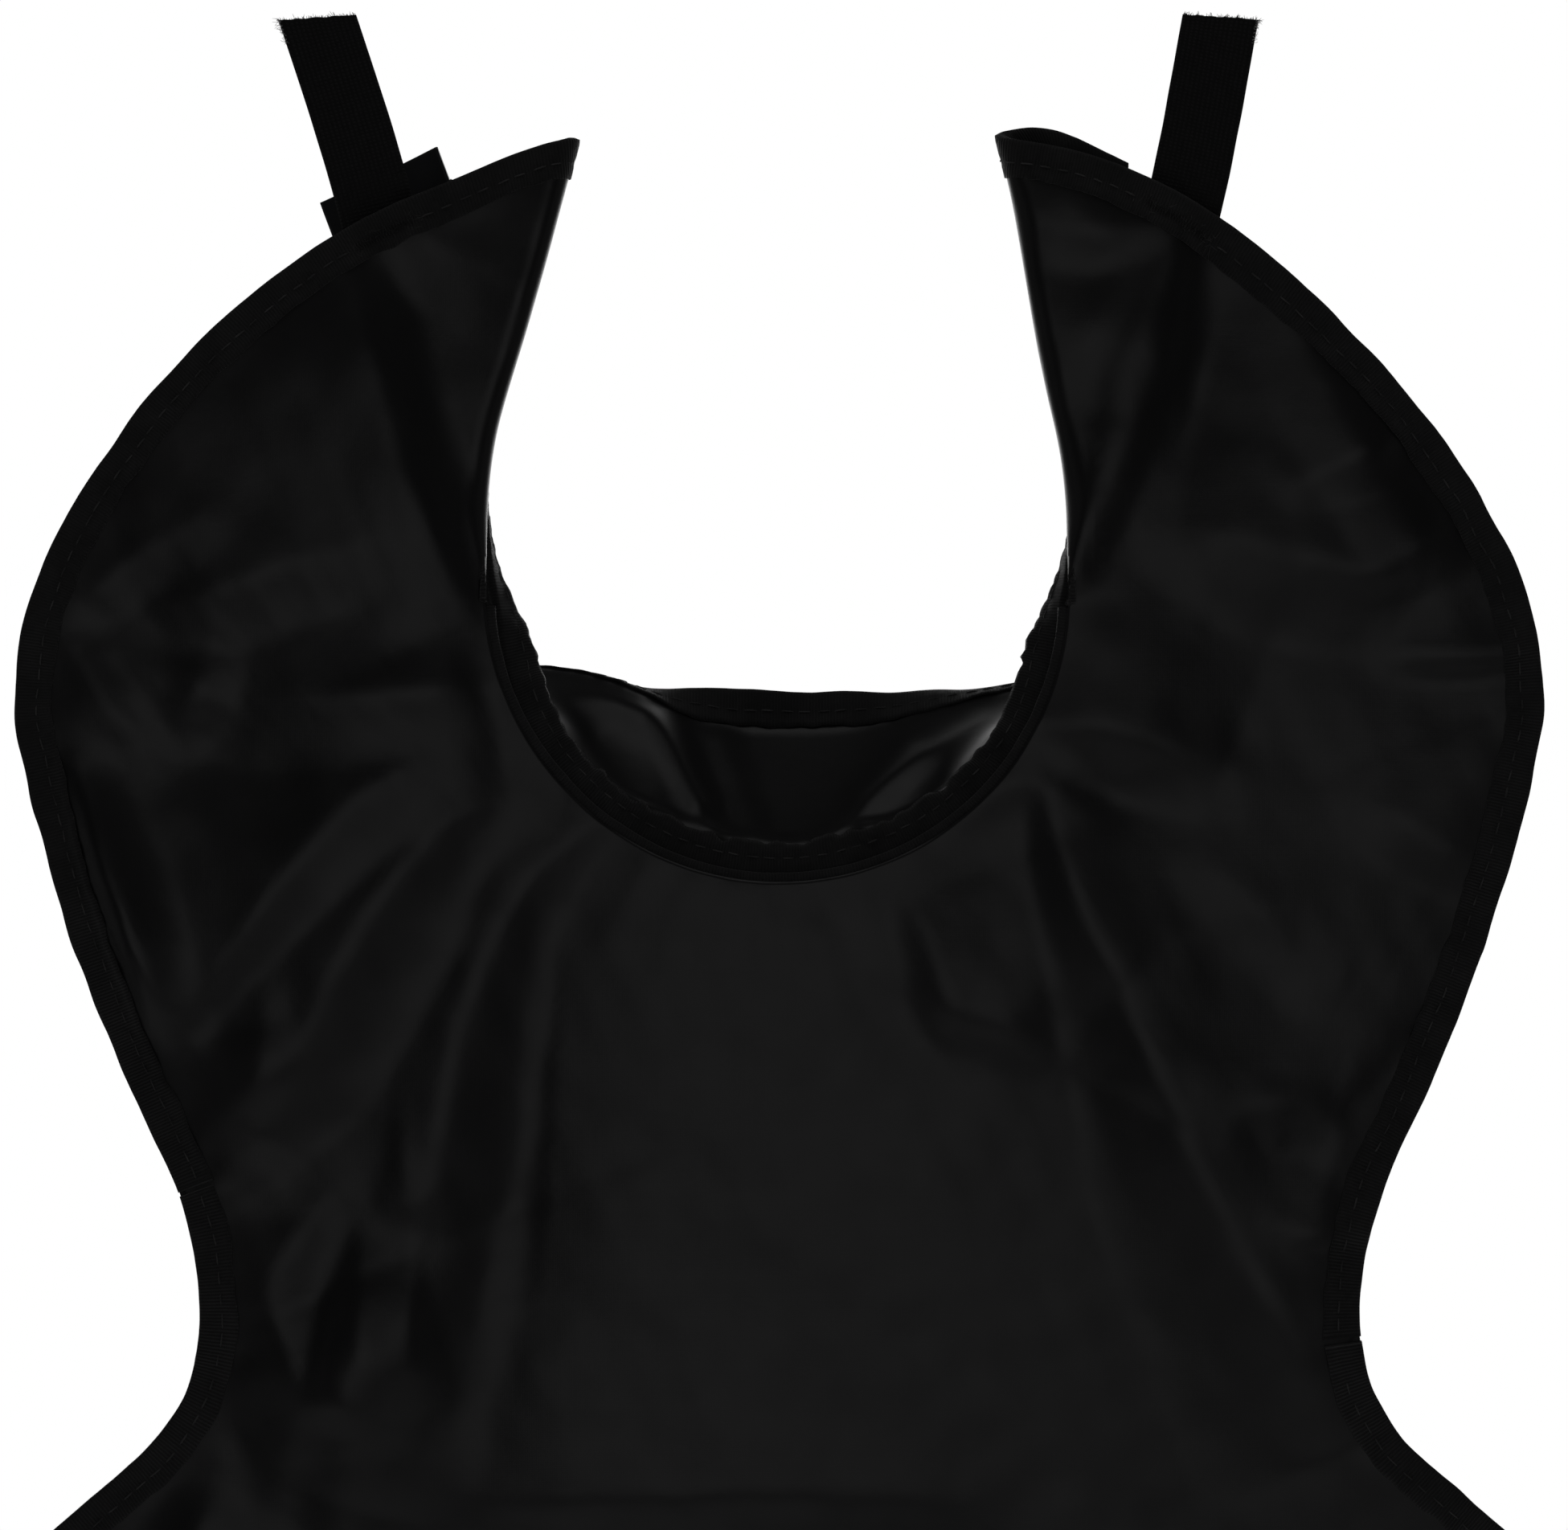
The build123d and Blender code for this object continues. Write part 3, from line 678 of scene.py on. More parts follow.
class Finish:
    """A material whose nodes are added one at a time."""

    def __init__(self, name, **settings):
        self.material = bpy.data.materials.new(name)
        self.material.use_nodes = True
        self.tree = self.material.node_tree
        self.shader = self.tree.nodes["Principled BSDF"]
        for socket, value in settings.items():
            self.shader.inputs[socket.replace("_", " ")].default_value = value
        places = self.node("ShaderNodeTexCoord").outputs
        self.where, self.flat = places["Object"], places["UV"]

    def node(self, kind, settings=None, **inputs):
        return add_node(self.tree, kind, settings, **inputs)

    def math(self, operation, first, second=0.0):
        return self.node("ShaderNodeMath", {"operation": operation}, i0=first, i1=second).outputs[0]

    def noise(self, scale, detail=3.0):
        return self.node("ShaderNodeTexNoise", Vector=self.where, Scale=scale, Detail=detail).outputs["Fac"]

    def wave(self, where, pitch, direction="X", distortion=0.0):
        """Bands of a given pitch, in the units of the coordinate."""
        made = self.node(
            "ShaderNodeTexWave",
            {"bands_direction": direction, "wave_profile": "SIN"},
            Vector=where, Scale=math.pi / 10 / pitch, Distortion=distortion,
        )
        return made.outputs["Fac"]

    def spread(self, value, low, high):
        """A value from 0 to 1 stretched between two numbers."""
        return self.node("ShaderNodeMapRange", Value=value, To_Min=low, To_Max=high).outputs["Result"]

    def colour(self, value, dark, light, low=0.35, high=0.65):
        ramp = self.node("ShaderNodeValToRGB", Fac=value)
        for stop, place, shade in zip(ramp.color_ramp.elements, (low, high), (dark, light)):
            stop.position, stop.color = place, (*shade, 1)
        self.tree.links.new(ramp.outputs["Color"], self.shader.inputs["Base Color"])

    def rough(self, scale, low, high):
        """Roughness that drifts between two values."""
        self.tree.links.new(self.spread(self.noise(scale), low, high), self.shader.inputs["Roughness"])

    def bump(self, *layers):
        """Bumps one on another: each is (height from 0 to 1, size in millimetres)."""
        normal = None
        for height, size in layers:
            made = self.node("ShaderNodeBump", Height=height, Distance=size * MM, Strength=1.0)
            if normal:
                self.tree.links.new(normal, made.inputs["Normal"])
            normal = made.outputs["Normal"]
        self.tree.links.new(normal, self.shader.inputs["Normal"])


def satin(name, dark, light, roughness):
    finish = Finish(name, Specular_IOR_Level=0.5, Sheen_Weight=0.04, Sheen_Roughness=0.4)
    finish.colour(finish.noise(18.0), dark, light)
    finish.rough(60.0, roughness - 0.05, roughness + 0.05)
    warp, weft = finish.wave(finish.where, SATIN_YARN), finish.wave(finish.where, SATIN_YARN, "Z")
    weave = finish.math("MULTIPLY", warp, weft)
    finish.bump((finish.noise(110.0, 4.0), 0.10), (weave, 0.012), (finish.noise(900.0, 2.0), 0.012))
    return finish.material


def grosgrain():
    finish = Finish("grosgrain", Specular_IOR_Level=0.35, Sheen_Weight=0.2, Sheen_Roughness=0.5)
    ribs, yarn = finish.wave(finish.flat, RIB, distortion=0.25), finish.wave(finish.flat, 0.32, "Y")
    # Random tone, darker in the troughs between the ribs: the trough darkening is painted shade.
    tone_and_rib_trough_shade = finish.math("MULTIPLY", finish.noise(70.0), finish.spread(ribs, 0.55, 1.0))
    finish.colour(tone_and_rib_trough_shade, (0.0105, 0.0102, 0.0107), (0.027, 0.0262, 0.027), 0.25, 0.7)
    finish.rough(300.0, 0.6, 0.85)
    finish.bump((ribs, 0.22), (yarn, 0.03), (finish.noise(900.0), 0.05))
    return finish.material


def webbing():
    finish = Finish("webbing", Specular_IOR_Level=0.3, Sheen_Weight=0.1, Sheen_Roughness=0.5)
    weft, warp = finish.wave(finish.flat, 1.25, "Y"), finish.wave(finish.flat, 1.6, "X")
    weave = finish.math("MULTIPLY", weft, warp)
    # The colour follows the weave's bump: lighter on the raised yarns and darker in the hollows between them,
    # a painted shade.
    finish.colour(weave, (0.0062, 0.006, 0.0064), (0.0155, 0.015, 0.016), 0.05, 0.8)
    finish.rough(250.0, 0.62, 0.85)
    finish.bump((weave, 0.25), (finish.noise(1200.0), 0.05))
    return finish.material


def thread(name, dark, light):
    finish = Finish(name, Specular_IOR_Level=0.4, Sheen_Weight=0.2, Sheen_Roughness=0.4)
    finish.colour(finish.noise(140.0), dark, light)
    finish.rough(900.0, 0.45, 0.7)
    finish.bump((finish.wave(finish.where, THREAD_TWIST, "DIAGONAL"), 0.06))
    return finish.material


def pile(name, pitch, size):
    """Hook or loop tape: close little knobs."""
    finish = Finish(name, Specular_IOR_Level=0.35, Sheen_Weight=0.35, Sheen_Roughness=0.5)
    cells = finish.node("ShaderNodeTexVoronoi", Vector=finish.where, Scale=1 / (pitch * MM))
    cells = cells.outputs["Distance"]
    # Lighter on the knobs and darker in the gaps between them, where the bump sinks: painted shade.
    finish.colour(cells, (0.018, 0.0175, 0.0185), (0.005, 0.005, 0.0055), 0.1, 0.7)
    finish.rough(500.0, 0.6, 0.9)
    finish.bump((finish.math("SUBTRACT", 1.0, cells), size), (finish.noise(1500.0), 0.15))
    return finish.material


def vinyl():
    finish = Finish("lead_vinyl", Specular_IOR_Level=0.4)
    finish.colour(finish.noise(25.0), (0.035, 0.037, 0.04), (0.06, 0.062, 0.066))
    finish.rough(120.0, 0.5, 0.65)
    finish.bump((finish.noise(700.0), 0.06))
    return finish.material


def pale_floor():
    finish = Finish("pale_floor", Emission_Color=(1, 1, 1, 1), Emission_Strength=0.08)
    finish.colour(finish.noise(2.0), (0.78, 0.78, 0.78), (0.82, 0.82, 0.82))
    finish.rough(8.0, 0.7, 0.85)
    return finish.material


# Object coordinates are metres, and UV coordinates are millimetres.
SATIN_YARN, THREAD_TWIST = 0.00042, 0.0005
SATIN = satin("satin_nylon", (0.0085, 0.0083, 0.0090), (0.0125, 0.0120, 0.0128), 0.38)
TAB_SATIN = satin("tab_satin", (0.017, 0.0175, 0.020), (0.023, 0.0235, 0.026), 0.34)
GROSGRAIN, WEBBING, VINYL = grosgrain(), webbing(), vinyl()
THREAD = thread("thread", (0.03, 0.03, 0.031), (0.085, 0.083, 0.083))
HOOKS, LOOPS = pile("hook_tape", 1.3, 0.6), pile("loop_tape", 0.8, 0.5)


# ---- the panel ----------------------------------------------------------------------------------
LEFT_OUTER, LEFT_NECK = half_pattern(-1)
RIGHT_OUTER, RIGHT_NECK = half_pattern(1)


def whole_edge():
    """The closed pattern edge, counter-clockwise from the middle of the hem."""
    right = np.vstack([RIGHT_OUTER, RIGHT_NECK])
    left = np.vstack([LEFT_OUTER, LEFT_NECK])[::-1]
    return np.vstack([right[:-1], left[:-1]])


def make_panel():
    """The two covers and the three sheets of lead vinyl between them."""
    edge = whole_edge()
    pattern, triangles = pattern_mesh(edge, 3.2, 5.0)
    surface = facing(pattern)
    covers = (("front_cover", 0, COVER), ("back_cover", LAMINATE - COVER, LAMINATE))
    for node, near, far in covers:
        piece = layer(f"{node}_satin", pattern, triangles, surface, near, far, SATIN)
        place_piece(piece, "satin_nylon", node)
    inner = shrunk(edge, SHIELD_INSET)
    short, short_triangles = pattern_mesh(resampled(inner, 3.2), 4.6, 6.0, detail=False)
    surface = facing(short)
    for number, name in enumerate(("front", "middle", "rear")):
        near = COVER + number * SHEET
        piece = layer(f"shield_{name}_vinyl", short, short_triangles, surface, near + 0.1, near + 0.4, VINYL)
        place_piece(piece, "lead_vinyl", f"shield_sheet_{name}")


def make_binding():
    """The outer tape in its three lengths, and its stitching."""
    right, left = PanelLine(RIGHT_OUTER), PanelLine(LEFT_OUTER, -1)
    profile = tape_profile(BINDING, 0.0, LAMINATE, stitch=STITCH_LINE)
    lines = {"right": (right, RIGHT_SPLICE_Z), "left": (left, LEFT_SPLICE_Z)}
    for side, (line, splice) in lines.items():
        start, _ = line.part(lambda p: p[:, 1] > splice)
        span = (start, line.length)
        piece = tape(f"{side}_wing_tape", line, span, profile, GROSGRAIN, 0.45, seed=len(side))
        place_piece(piece, "grosgrain", f"{side}_wing_binding")
        make_stitching(f"{side}_wing", line, span, window(line))
    whole = PanelLine(np.vstack([LEFT_OUTER[::-1], RIGHT_OUTER[1:]]))
    low = whole.part(lambda p: (p[:, 0] < 0) & (p[:, 1] < LEFT_SPLICE_Z))[0]
    high = whole.part(lambda p: (p[:, 0] > 0) & (p[:, 1] < RIGHT_SPLICE_Z))[1]
    piece = tape("skirt_tape", whole, (low, high), profile, GROSGRAIN, 0.45, seed=8)
    place_piece(piece, "grosgrain", "skirt_binding")
    make_stitching("skirt", whole, (low, high), (0, 0))


def window(line):
    """The stretch of the shoulder line that a strap's end crosses."""
    return line.part(lambda p: (np.abs(np.abs(p[:, 0]) - STRAP_FOOT[0]) < 11) & (p[:, 1] > -110))


def make_stitching(name, line, span, skip):
    """Thread on both faces of the binding, left out where the strap's own stitches are."""
    front = stitch_parts(line, span, STITCH_LINE, -TAPE + 0.1, -1, len(name), skip)
    back = stitch_parts(line, span, STITCH_LINE, LAMINATE + TAPE - 0.1, 1, len(name) + 1)
    piece = joined(f"{name}_thread", front + back, THREAD)
    place_piece(piece, "thread", f"{name}_stitching")


def make_neck_tape():
    """The tape on the neck edge. The front satin laps over it, so only its fold shows."""
    edge = np.vstack([LEFT_NECK, RIGHT_NECK[::-1][1:]])
    line = PanelLine(edge, -1)
    profile = tape_profile(NECK_TAPE, COVER + TAPE, LAMINATE, edge=-NECK_LAP)
    piece = tape("neck_tape", line, (0, line.length), profile, GROSGRAIN, 0.3, seed=21)
    place_piece(piece, "grosgrain", "neck_binding")
    bowl = line.part(lambda p: p[:, 1] < NECK_CENTRE_Z)
    back = stitch_parts(line, bowl, 2.2, LAMINATE + TAPE - 0.1, 1, 22)
    place_piece(joined("neck_thread", back, THREAD), "thread", "neck_stitching")


# ---- the collar ---------------------------------------------------------------------------------
COLLAR_SEAM = (
    (0.0, 4.4, -288.4), (47.6, 5.2, -275.8), (83.4, 7.6, -240.8), (95.6, 13.0, -192.0),
    (99.5, 17.4, -160.0), (103.5, 18.6, -112.0), (108.0, 19.0, -62.0),
)
COLLAR_EDGE = ((-181.0, 50.0, -101.0), (-182.0, 66.0, -160.0), (-145.0, 74.0, -206.0), (-76.0, 70.0, -220.5),
               (0.0, 68.0, -224.5), (80.0, 70.0, -222.5), (145.0, 74.0, -208.0), (182.0, 66.0, -160.0),
               (181.0, 50.0, -101.0))
COLLAR_COLUMNS, COLLAR_ROWS = 300, 60


def mirrored(points):
    left = [(-p[0], *p[1:]) for p in reversed(points)]
    return np.array(left[:-1] + list(points), float)


SEAM_CURVE, EDGE_CURVE = spline(mirrored(COLLAR_SEAM)), spline(np.array(COLLAR_EDGE))


def on_curve(curve, u):
    places = np.linspace(0, 1, len(curve))
    return np.column_stack([np.interp(u, places, column) for column in curve.T])


def collar_bends(u):
    """Four lines along the collar: its seam, the top of the taped flange, the foot of its edge tape
    and its free edge. The flange stands in towards the neck and the edge curls back at the sides;
    at its two ends the collar lies flat."""
    seam, edge = on_curve(SEAM_CURVE, u), on_curve(EDGE_CURVE, u)
    inward = np.array([0.0, 0.0, NECK_CENTRE_Z]) - seam
    inward[:, 1] = 0
    lean = 0.97 * smooth(-seam[:, 2], 168, 222)[:, None]
    flange = seam + BINDING * (unit(inward) * lean + [0, 1, 0] * np.sqrt(1 - lean**2))
    x = edge[:, 0]
    turn = np.radians(20 + 72 * smooth(x, 5, 84) + 98 * smooth(-x, 8, 72))
    foot = edge - BINDING * np.column_stack([0 * turn, np.sin(turn), np.cos(turn)])
    ends = smooth(np.abs(u - 0.5), 0.36, 0.46)[:, None]
    straight = BINDING * unit(edge - seam)
    flange = flange + ends * (seam + straight - flange)
    foot = foot + ends * (edge - straight - foot)
    return seam, flange, foot, edge


def collar_path(u, v):
    """Straight runs between the collar's four lines."""
    seam, flange, foot, edge = collar_bends(u)
    width = np.linalg.norm(edge - seam, axis=1)
    low, high = BINDING / width, 1 - BINDING / width
    lower = seam + (flange - seam) * (v / low)[:, None]
    middle = flange + (foot - flange) * ((v - low) / (high - low))[:, None]
    upper = foot + (edge - foot) * ((v - high) / (1 - high))[:, None]
    return np.where((v < low)[:, None], lower, np.where((v > high)[:, None], upper, middle))


def collar_face(u, v):
    """The collar's inner face: u runs along it from left to right, v from its seam to its free edge."""
    taps = (-0.045, -0.03, -0.015, 0.0, 0.015, 0.03, 0.045)
    ends = 1 - smooth(np.abs(v - 0.5), 0.46, 0.5)
    place = sum(collar_path(u, v + tap * ends) for tap in taps) / len(taps)
    ease = smooth(v, 0.1, 0.25) * (1 - smooth(v, 0.84, 0.95))
    place[:, 2] -= 3.0 * np.sin(math.pi * np.clip(v, 0, 1)) * ease
    height = 1.1 * folded(place[:, 0], place[:, 2], COLLAR_FOLDS, blunt=0.8) * ease
    height += 0.5 * sines(u * 420, v * 80, 50, 31) * ease
    rim = 1.7 * sines(u * 420, 0, 15, 33) * smooth(v, 0.06, 0.13) * (1 - smooth(v, 0.14, 0.25))
    top = 0.7 * sines(u * 420, 0, 30, 35) * smooth(v, 0.85, 0.97)
    return place + np.column_stack([height * 0, -height * 0.7 - rim, height * 0.7 + top + rim * 0.5])


def collar(u, v, depth=0.0):
    """Points of the collar, a depth into it from its inner face."""
    u, v = np.asarray(u, float), np.asarray(v, float)
    place = collar_face(u, v)
    along = collar_face(u + 0.002, v) - collar_face(u - 0.002, v)
    across = collar_face(u, v + 0.004) - collar_face(u, v - 0.004)
    return place - unit(np.cross(along, across)) * np.reshape(depth, (-1, 1))


class CollarLine:
    """One long edge of the collar, for tape and thread to follow."""

    def __init__(self, at_seam):
        self.at_seam = at_seam
        self.u = np.linspace(0, 1, 500)
        self.marks = marks_along(collar(self.u, np.full(500, 0.0 if at_seam else 1.0)))
        self.width = np.linalg.norm(on_curve(EDGE_CURVE, self.u) - on_curve(SEAM_CURVE, self.u), axis=1)
        self.length = self.marks[-1]

    def at(self, distance, inset, depth):
        u = np.interp(distance, self.marks, self.u)
        share = inset / np.interp(u, self.u, self.width)
        return collar(u, share if self.at_seam else 1 - share, depth)


def grid_solid(name, place, a, b, near, far, finish):
    """A closed sheet over a grid of (a, b), between two depths. place(a, b, depth) gives points."""
    across, along = np.meshgrid(a, b)
    across, along = across.ravel(), along.ravel()
    points = np.vstack([place(across, along, near), place(across, along, far)])
    columns, rows, total = len(a), len(b), len(a) * len(b)
    corner = (np.arange(rows - 1)[:, None] * columns + np.arange(columns - 1)).ravel()
    quads = np.column_stack([corner, corner + 1, corner + columns + 1, corner + columns])
    ring = [*range(columns), *range(2 * columns - 1, total, columns)]
    ring += [*range(total - 2, total - columns - 1, -1), *range(total - 2 * columns, 0, -columns)]
    sides = [[p, p + total, q + total, q] for p, q in zip(ring, ring[1:] + ring[:1])]
    faces = quads.tolist() + (quads[:, ::-1] + total).tolist() + sides
    uv = np.column_stack([across, along])
    return add_mesh(name, points, faces, finish, np.vstack([uv, uv]))


def flat_of_collar():
    """The collar's cut length and width, and its cut area."""
    line = CollarLine(False)
    area = line.width.mean() * line.length * COLLAR_CUT_SHARE
    return [line.length * MM, line.width.max() * MM], area * MM * MM


def make_collar_layers():
    u, v = np.linspace(0, 1, COLLAR_COLUMNS), np.linspace(0, 1, COLLAR_ROWS)
    flat, area = flat_of_collar()
    layers = (
        ("collar_inner_cover", 0.0, COVER, SATIN, "satin_nylon"),
        ("collar_shield_sheet_inner", 0.55, 0.95, VINYL, "lead_vinyl"),
        ("collar_shield_sheet_outer", 1.05, 1.45, VINYL, "lead_vinyl"),
        ("collar_outer_cover", 1.5, COLLAR_LAMINATE, SATIN, "satin_nylon"),
    )
    for node, near, far, finish, slot in layers:
        piece = grid_solid(f"{node}_cloth", collar, u, v, near, far, finish)
        place_piece(piece, slot, node)


def make_collar_edges():
    """The tape and the thread along the collar's seam and its free edge."""
    for name, at_seam in (("seam", True), ("edge", False)):
        line = CollarLine(at_seam)
        span = (0.0, line.length)
        profile = tape_profile(BINDING, 0.0, COLLAR_LAMINATE, stitch=STITCH_LINE)
        piece = tape(f"collar_{name}_tape", line, span, profile, GROSGRAIN, 2.0 if at_seam else 0.6, seed=41)
        place_piece(piece, "grosgrain", f"collar_{name}_binding")
        inner = stitch_parts(line, span, STITCH_LINE, -TAPE + 0.05, -1, 43)
        outer = stitch_parts(line, span, STITCH_LINE, COLLAR_LAMINATE + TAPE - 0.05, 1, 44)
        piece = joined(f"collar_{name}_thread", inner + outer, THREAD)
        place_piece(piece, "thread", f"collar_{name}_stitching")


def make_collar_patches():
    """The loop patch near one end and the tab's base at the other, in shares of the collar."""
    u, v = np.linspace(23 / 28, 27 / 28, 50), np.linspace(0.2, 0.75, 50)
    piece = grid_solid("collar_loop_pad", collar, u, v, COLLAR_LAMINATE, COLLAR_LAMINATE + PILE_HEIGHT, LOOPS)
    place_piece(piece, "loop_tape", "collar_loop_patch")
    u, v = np.linspace(0, 1 / 28, 12), np.linspace(0.12, 0.53, 30)
    piece = grid_solid("closure_tab_base_satin", collar, u, v, -0.9, 0.0, TAB_SATIN)
    place_piece(piece, "satin_nylon", "closure_tab_base")


# ---- straps and closure tab -----------------------------------------------------------------------
def rounded(across, half_width, half_thick, depth):
    """Thins a ribbon towards its selvedges; depth is -1 on its front and 1 on its back."""
    share = np.clip(np.abs(across) / half_width, 0, 1)
    return depth * half_thick * np.sqrt(np.maximum(1 - share**10, 0.02))


STRAP_DRIFT = {-1: -6.0, 1: -4.5}  # the straps don't lean quite alike


def strap_place(side):
    """Turns (across, up, depth) of a strap into points. It leans outward."""
    lean = math.radians(STRAP_TILT)
    right = np.array([math.cos(lean), 0, -side * math.sin(lean)])
    up = np.array([side * math.sin(lean), 0, math.cos(lean)])
    foot = np.array([side * STRAP_FOOT[0], STRAP_Y + STRAP_THICK / 2, STRAP_FOOT[1]])

    def place(across, height, depth):
        top = smooth(height, STRAP_LENGTH - 12, STRAP_LENGTH)
        height = height + top * (0.165 * side * across + 0.25 * sines(across, 0, 5, 60 + side))
        wide = across * (1 + 0.006 * sines(height, 0, 22, 62 + side))
        points = foot + wide[:, None] * right + height[:, None] * up
        sewn = 1 - smooth(height, -6, 16)
        points[:, 1] += depth + 0.7 * np.sin(height / 19 + side) * smooth(height, 0, 40)
        points[:, 1] -= sewn * RELIEF.at(points[:, 0], points[:, 2])
        points[:, 0] += STRAP_DRIFT[side] * smooth(height, 0, STRAP_LENGTH * 1.6)
        return points

    return place


def make_strap(side, name, tape_name, pile_finish):
    """A strap that follows the panel's folds along its sewn stretch, with its hook or loop pad on the back.
    """
    place, half = strap_place(side), STRAP_THICK / 2
    a = np.linspace(-STRAP_WIDTH / 2, STRAP_WIDTH / 2, 33)
    b = np.linspace(-STRAP_SEWN, STRAP_LENGTH, 110)

    def ribbon(across, height, depth):
        return place(across, height, rounded(across, STRAP_WIDTH / 2, half, depth))

    piece = grid_solid(f"{name}_strap", ribbon, a, b, -1, 1, WEBBING)
    place_piece(piece, "webbing", f"{name}_strap_root", f"{name}_strap_webbing", body=None)
    ends = [place(np.zeros(1), np.array([STRAP_BEND + step]), 0)[0] * MM for step in (-5.0, 5.0)]
    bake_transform(piece)
    top, width = STRAP_LENGTH - PAD_TOP_GAP, STRAP_WIDTH - 0.6
    a, b = np.linspace(-width / 2, width / 2, 40), np.linspace(top - PAD_LENGTH, top, 54)
    pad = grid_solid(f"{name}_strap_{tape_name}_pad", place, a, b, half, half + PILE_HEIGHT, pile_finish)
    place_piece(pad, tape_name, f"{name}_strap_{tape_name}", body=f"{name}_strap")


def fibre(start, direction, length, radius, random):
    """One loose curling fibre."""
    steps = np.linspace(0, 1, 6)[:, None]
    curl = random.normal(0, 0.35, 3)
    path = np.array(start) + steps * length * np.array(direction) + steps**2 * curl * length
    return tube(path, radius, 4)


def make_fray(side, name):
    """The cut end of a strap: short fibres, with a pale tuft at the outer corner."""
    random, place = np.random.default_rng(70 + side), strap_place(side)
    dark, pale = [], []
    for _ in range(150):
        across = random.uniform(-12.5, 12.5)
        start = place(np.array([across]), np.array([STRAP_LENGTH - 0.4]), random.uniform(-0.8, 0.8))[0]
        way = np.array([side * 0.24 + random.normal(0, 0.3), random.normal(0, 0.3), 1.0])
        dark.append(fibre(start, way, random.uniform(0.5, 1.3), 0.07, random))
    for _ in range(90):
        across, down = side * random.uniform(11.6, 12.7), random.uniform(0, 1) ** 2 * 7
        start = place(np.array([across]), np.array([STRAP_LENGTH - down]), random.uniform(-0.8, 0.8))[0]
        way = np.array([side * random.uniform(0.4, 1.2), random.normal(0, 0.4), random.uniform(-0.6, 0.8)])
        pale.append(fibre(start, way, random.uniform(0.6, 1.7), 0.06, random))
    for kind, parts, finish in (("dark", dark, WEBBING), ("pale", pale, PALE_FIBRE)):
        piece = joined(f"{name}_strap_{kind}_fray", parts, finish)
        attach(piece, f"{name}_strap")


def make_backtack(side, name):
    """Close zigzag stitches across the binding over a strap's end, with scuffed loose fibres."""
    random = np.random.default_rng(80 + side)
    line = PanelLine(RIGHT_OUTER if side > 0 else LEFT_OUTER, side)
    low, high = window(line)
    along = np.arange(low, high, BACKTACK_STEP)
    zigzag = np.where(np.arange(len(along)) % 2, BACKTACK_HALF, -BACKTACK_HALF)
    inset = STITCH_LINE + zigzag + random.normal(0, 0.15, len(along))
    path = line.at(along, inset, -TAPE - 0.16)
    parts = [tube(path, 0.17, 5)]
    roots = line.at(random.uniform(low - 4, high + 4, 46), random.normal(STITCH_LINE, 1.6, 46), -0.8)
    for start in roots:
        way = np.array([random.normal(0, 0.6), -0.25, random.normal(0, 0.6)])
        parts.append(fibre(start, way, random.uniform(0.8, 2.6), 0.06, random))
    place_piece(joined(f"{name}_backtack_thread", parts, THREAD), "thread", f"{name}_strap_backtack")


def tab_place():
    """Turns (along the bend, past it, depth) of the closure tab into points."""
    joint = next(j for j in frame["joints"] if j["name"] == "closure_tab_bend")
    origin, along = np.array(joint["pos_m"]) / MM, np.array(joint["axis"], float)
    low, high = (np.array(c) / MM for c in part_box("closure_tab"))
    past = (low + high) / 2 - origin
    past -= along * (past @ along)
    past /= np.linalg.norm(past)
    behind = np.cross(along, past)

    def place(across, height, depth):
        bow = 1.4 * np.cos(across / 24 * 1.4) * smooth(height, 2, 18) - 0.8 * smooth(height, 4, 20)
        points = origin + across[:, None] * along + height[:, None] * past
        return points + (bow + depth)[:, None] * behind

    return place


def make_tab():
    place, half = tab_place(), 0.6
    a, b = np.linspace(-TAB_WIDTH / 2, TAB_WIDTH / 2, 50), np.linspace(-1.0, TAB_DEPTH - 1.0, 26)
    piece = grid_solid("closure_tab_satin", place, a, b, -half, half, TAB_SATIN)
    place_piece(piece, "satin_nylon", "closure_tab", body=None)
    ends = [place(np.zeros(1), np.array([step]), 0)[0] * MM for step in (-1.0, 1.5)]
    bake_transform(piece)
    a, b = np.linspace(-23, 23, 60), np.linspace(4.0, 20.0, 26)
    pad = grid_solid("closure_tab_hook_pad", place, a, b, half, half + PILE_HEIGHT, HOOKS)
    place_piece(pad, "hook_tape", "closure_tab_hook_tape", body="closure_tab")


PALE_FIBRE = thread("pale_fibre", (0.5, 0.5, 0.5), (0.8, 0.8, 0.8))
make_panel()
make_binding()
make_neck_tape()
make_collar_layers()
make_collar_edges()
make_collar_patches()
for side, name, tape_name, finish in ((-1, "left", "hook_tape", HOOKS), (1, "right", "loop_tape", LOOPS)):
    make_strap(side, name, tape_name, finish)
    make_fray(side, name)
    make_backtack(side, name)
make_tab()

# ---- floor, light and camera ---------------------------------------------------------------------
FLOOR_HALF, FLOOR_DROP = 1400.0, 550.0
WORLD_DIM, WORLD_SIDES, WORLD_BEHIND = 0.02, 0.1, 2.0  # strengths of the studio round the apron


def make_floor():
    """Well below the hem, because the apron hangs."""
    half, z = FLOOR_HALF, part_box("skirt_binding")[0].z / MM - FLOOR_DROP
    corners = [(-half, -half, z), (half, -half, z), (half, half, z), (-half, half, z)]
    add_mesh("floor", corners, [(0, 1, 2, 3)], pale_floor())


def make_light(name, place, target, width, height, power):
    light = bpy.data.lights.new(name, "AREA")
    light.shape, light.size, light.size_y, light.energy = "RECTANGLE", width, height, power
    lamp = bpy.data.objects.new(name, light)
    lamp.location = place
    lamp.rotation_euler = (Vector(target) - Vector(place)).to_track_quat("-Z", "Y").to_euler()
    bpy.context.scene.collection.objects.link(lamp)


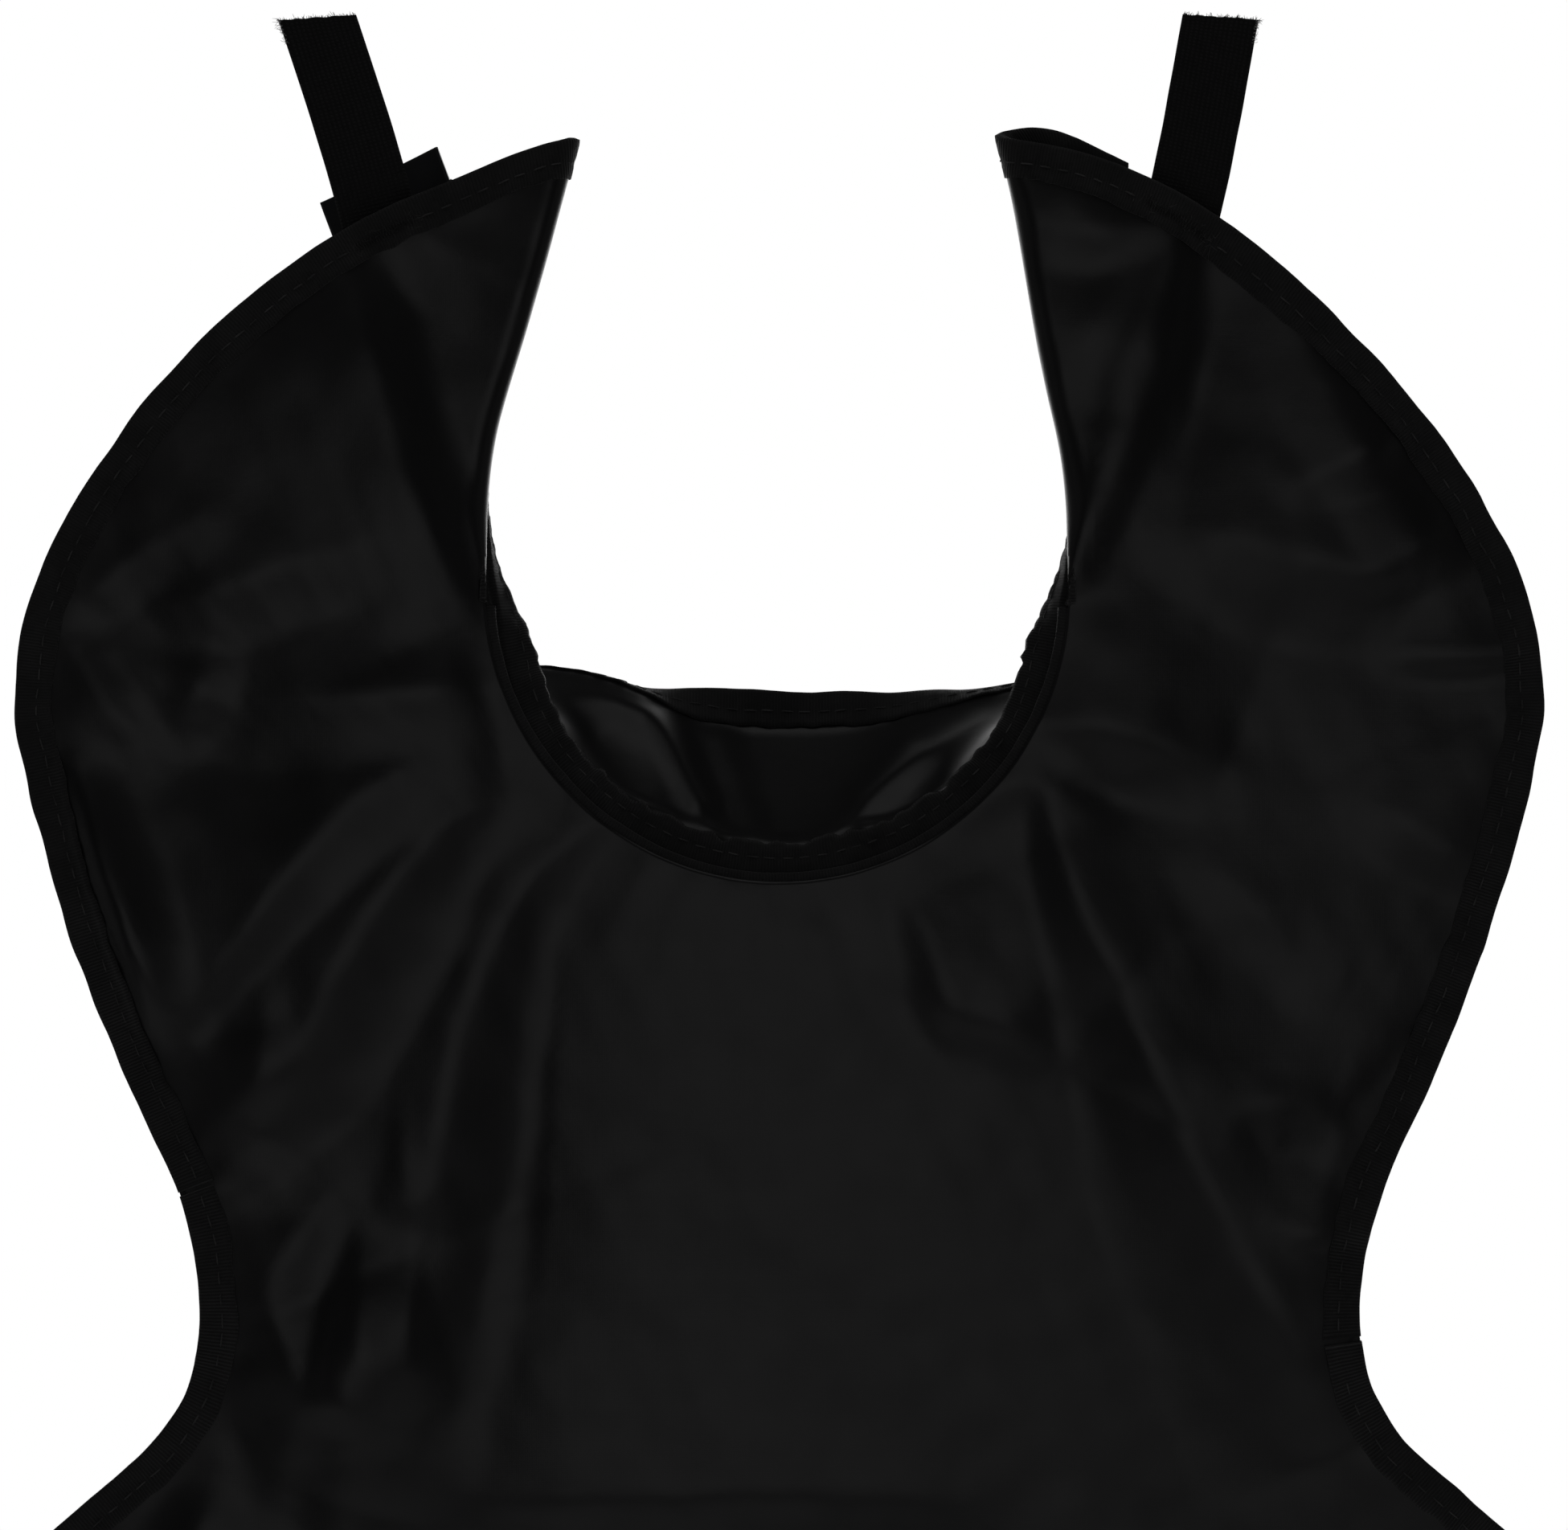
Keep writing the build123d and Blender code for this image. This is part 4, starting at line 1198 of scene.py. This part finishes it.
def make_world():
    """A white studio: bright behind the apron, softer at its sides, dim in front of it."""
    world = bpy.data.worlds.new("studio")
    world.use_nodes = True
    bpy.context.scene.world = world
    tree = world.node_tree

    def ramp(value, start, end, low, high):
        made = add_node(tree, "ShaderNodeMapRange", {"interpolation_type": "SMOOTHSTEP"}, Value=value,
                        From_Min=start, From_Max=end, To_Min=low, To_Max=high)
        return made.outputs["Result"]

    def sum_of(operation, *values):
        inputs = {f"i{number}": value for number, value in enumerate(values)}
        return add_node(tree, "ShaderNodeMath", {"operation": operation}, **inputs).outputs[0]

    way = add_node(tree, "ShaderNodeTexCoord").outputs["Generated"]
    split = add_node(tree, "ShaderNodeSeparateXYZ", i0=way).outputs
    behind = ramp(split["Y"], 0.6, 0.97, 0.0, WORLD_BEHIND)
    level_with_it = ramp(split["Z"], 0.3, 0.7, 1.0, 0.0)
    sides = ramp(sum_of("ABSOLUTE", split["X"]), 0.8, 1.0, WORLD_DIM, WORLD_SIDES)
    glow = sum_of("MULTIPLY_ADD", behind, level_with_it, sides)
    seen = add_node(tree, "ShaderNodeLightPath").outputs["Is Camera Ray"]
    choose = add_node(tree, "ShaderNodeMix", i0=seen, i2=glow, i3=1.0)
    background = tree.nodes["Background"]
    background.inputs["Color"].default_value = (1, 1, 1, 1)
    tree.links.new(choose.outputs[0], background.inputs["Strength"])


def make_camera():
    """Level with the upper part of the apron, as in the photograph, which cuts off the hem."""
    camera = bpy.data.cameras.new("camera")
    camera.lens, camera.sensor_width = 110.0, 36.0
    seen_width, centre = 0.5229, Vector((0.0015, 0.0, -0.2500))
    eye = bpy.data.objects.new("camera", camera)
    eye.location = centre - Vector((0, seen_width * camera.lens / camera.sensor_width, 0))
    eye.rotation_euler = (math.radians(90), 0, 0)
    bpy.context.scene.collection.objects.link(eye)
    bpy.context.scene.camera = eye


make_floor()
make_world()
make_light("key", (0.0, -1.8, -0.36), (0, 0, -0.35), 1.5, 1.0, 1.5)
make_light("overhead", (0, -0.3, 1.1), (0, 0.04, -0.25), 1.2, 0.7, 1.1)
make_camera()
bpy.context.scene.view_settings.view_transform = "Standard"
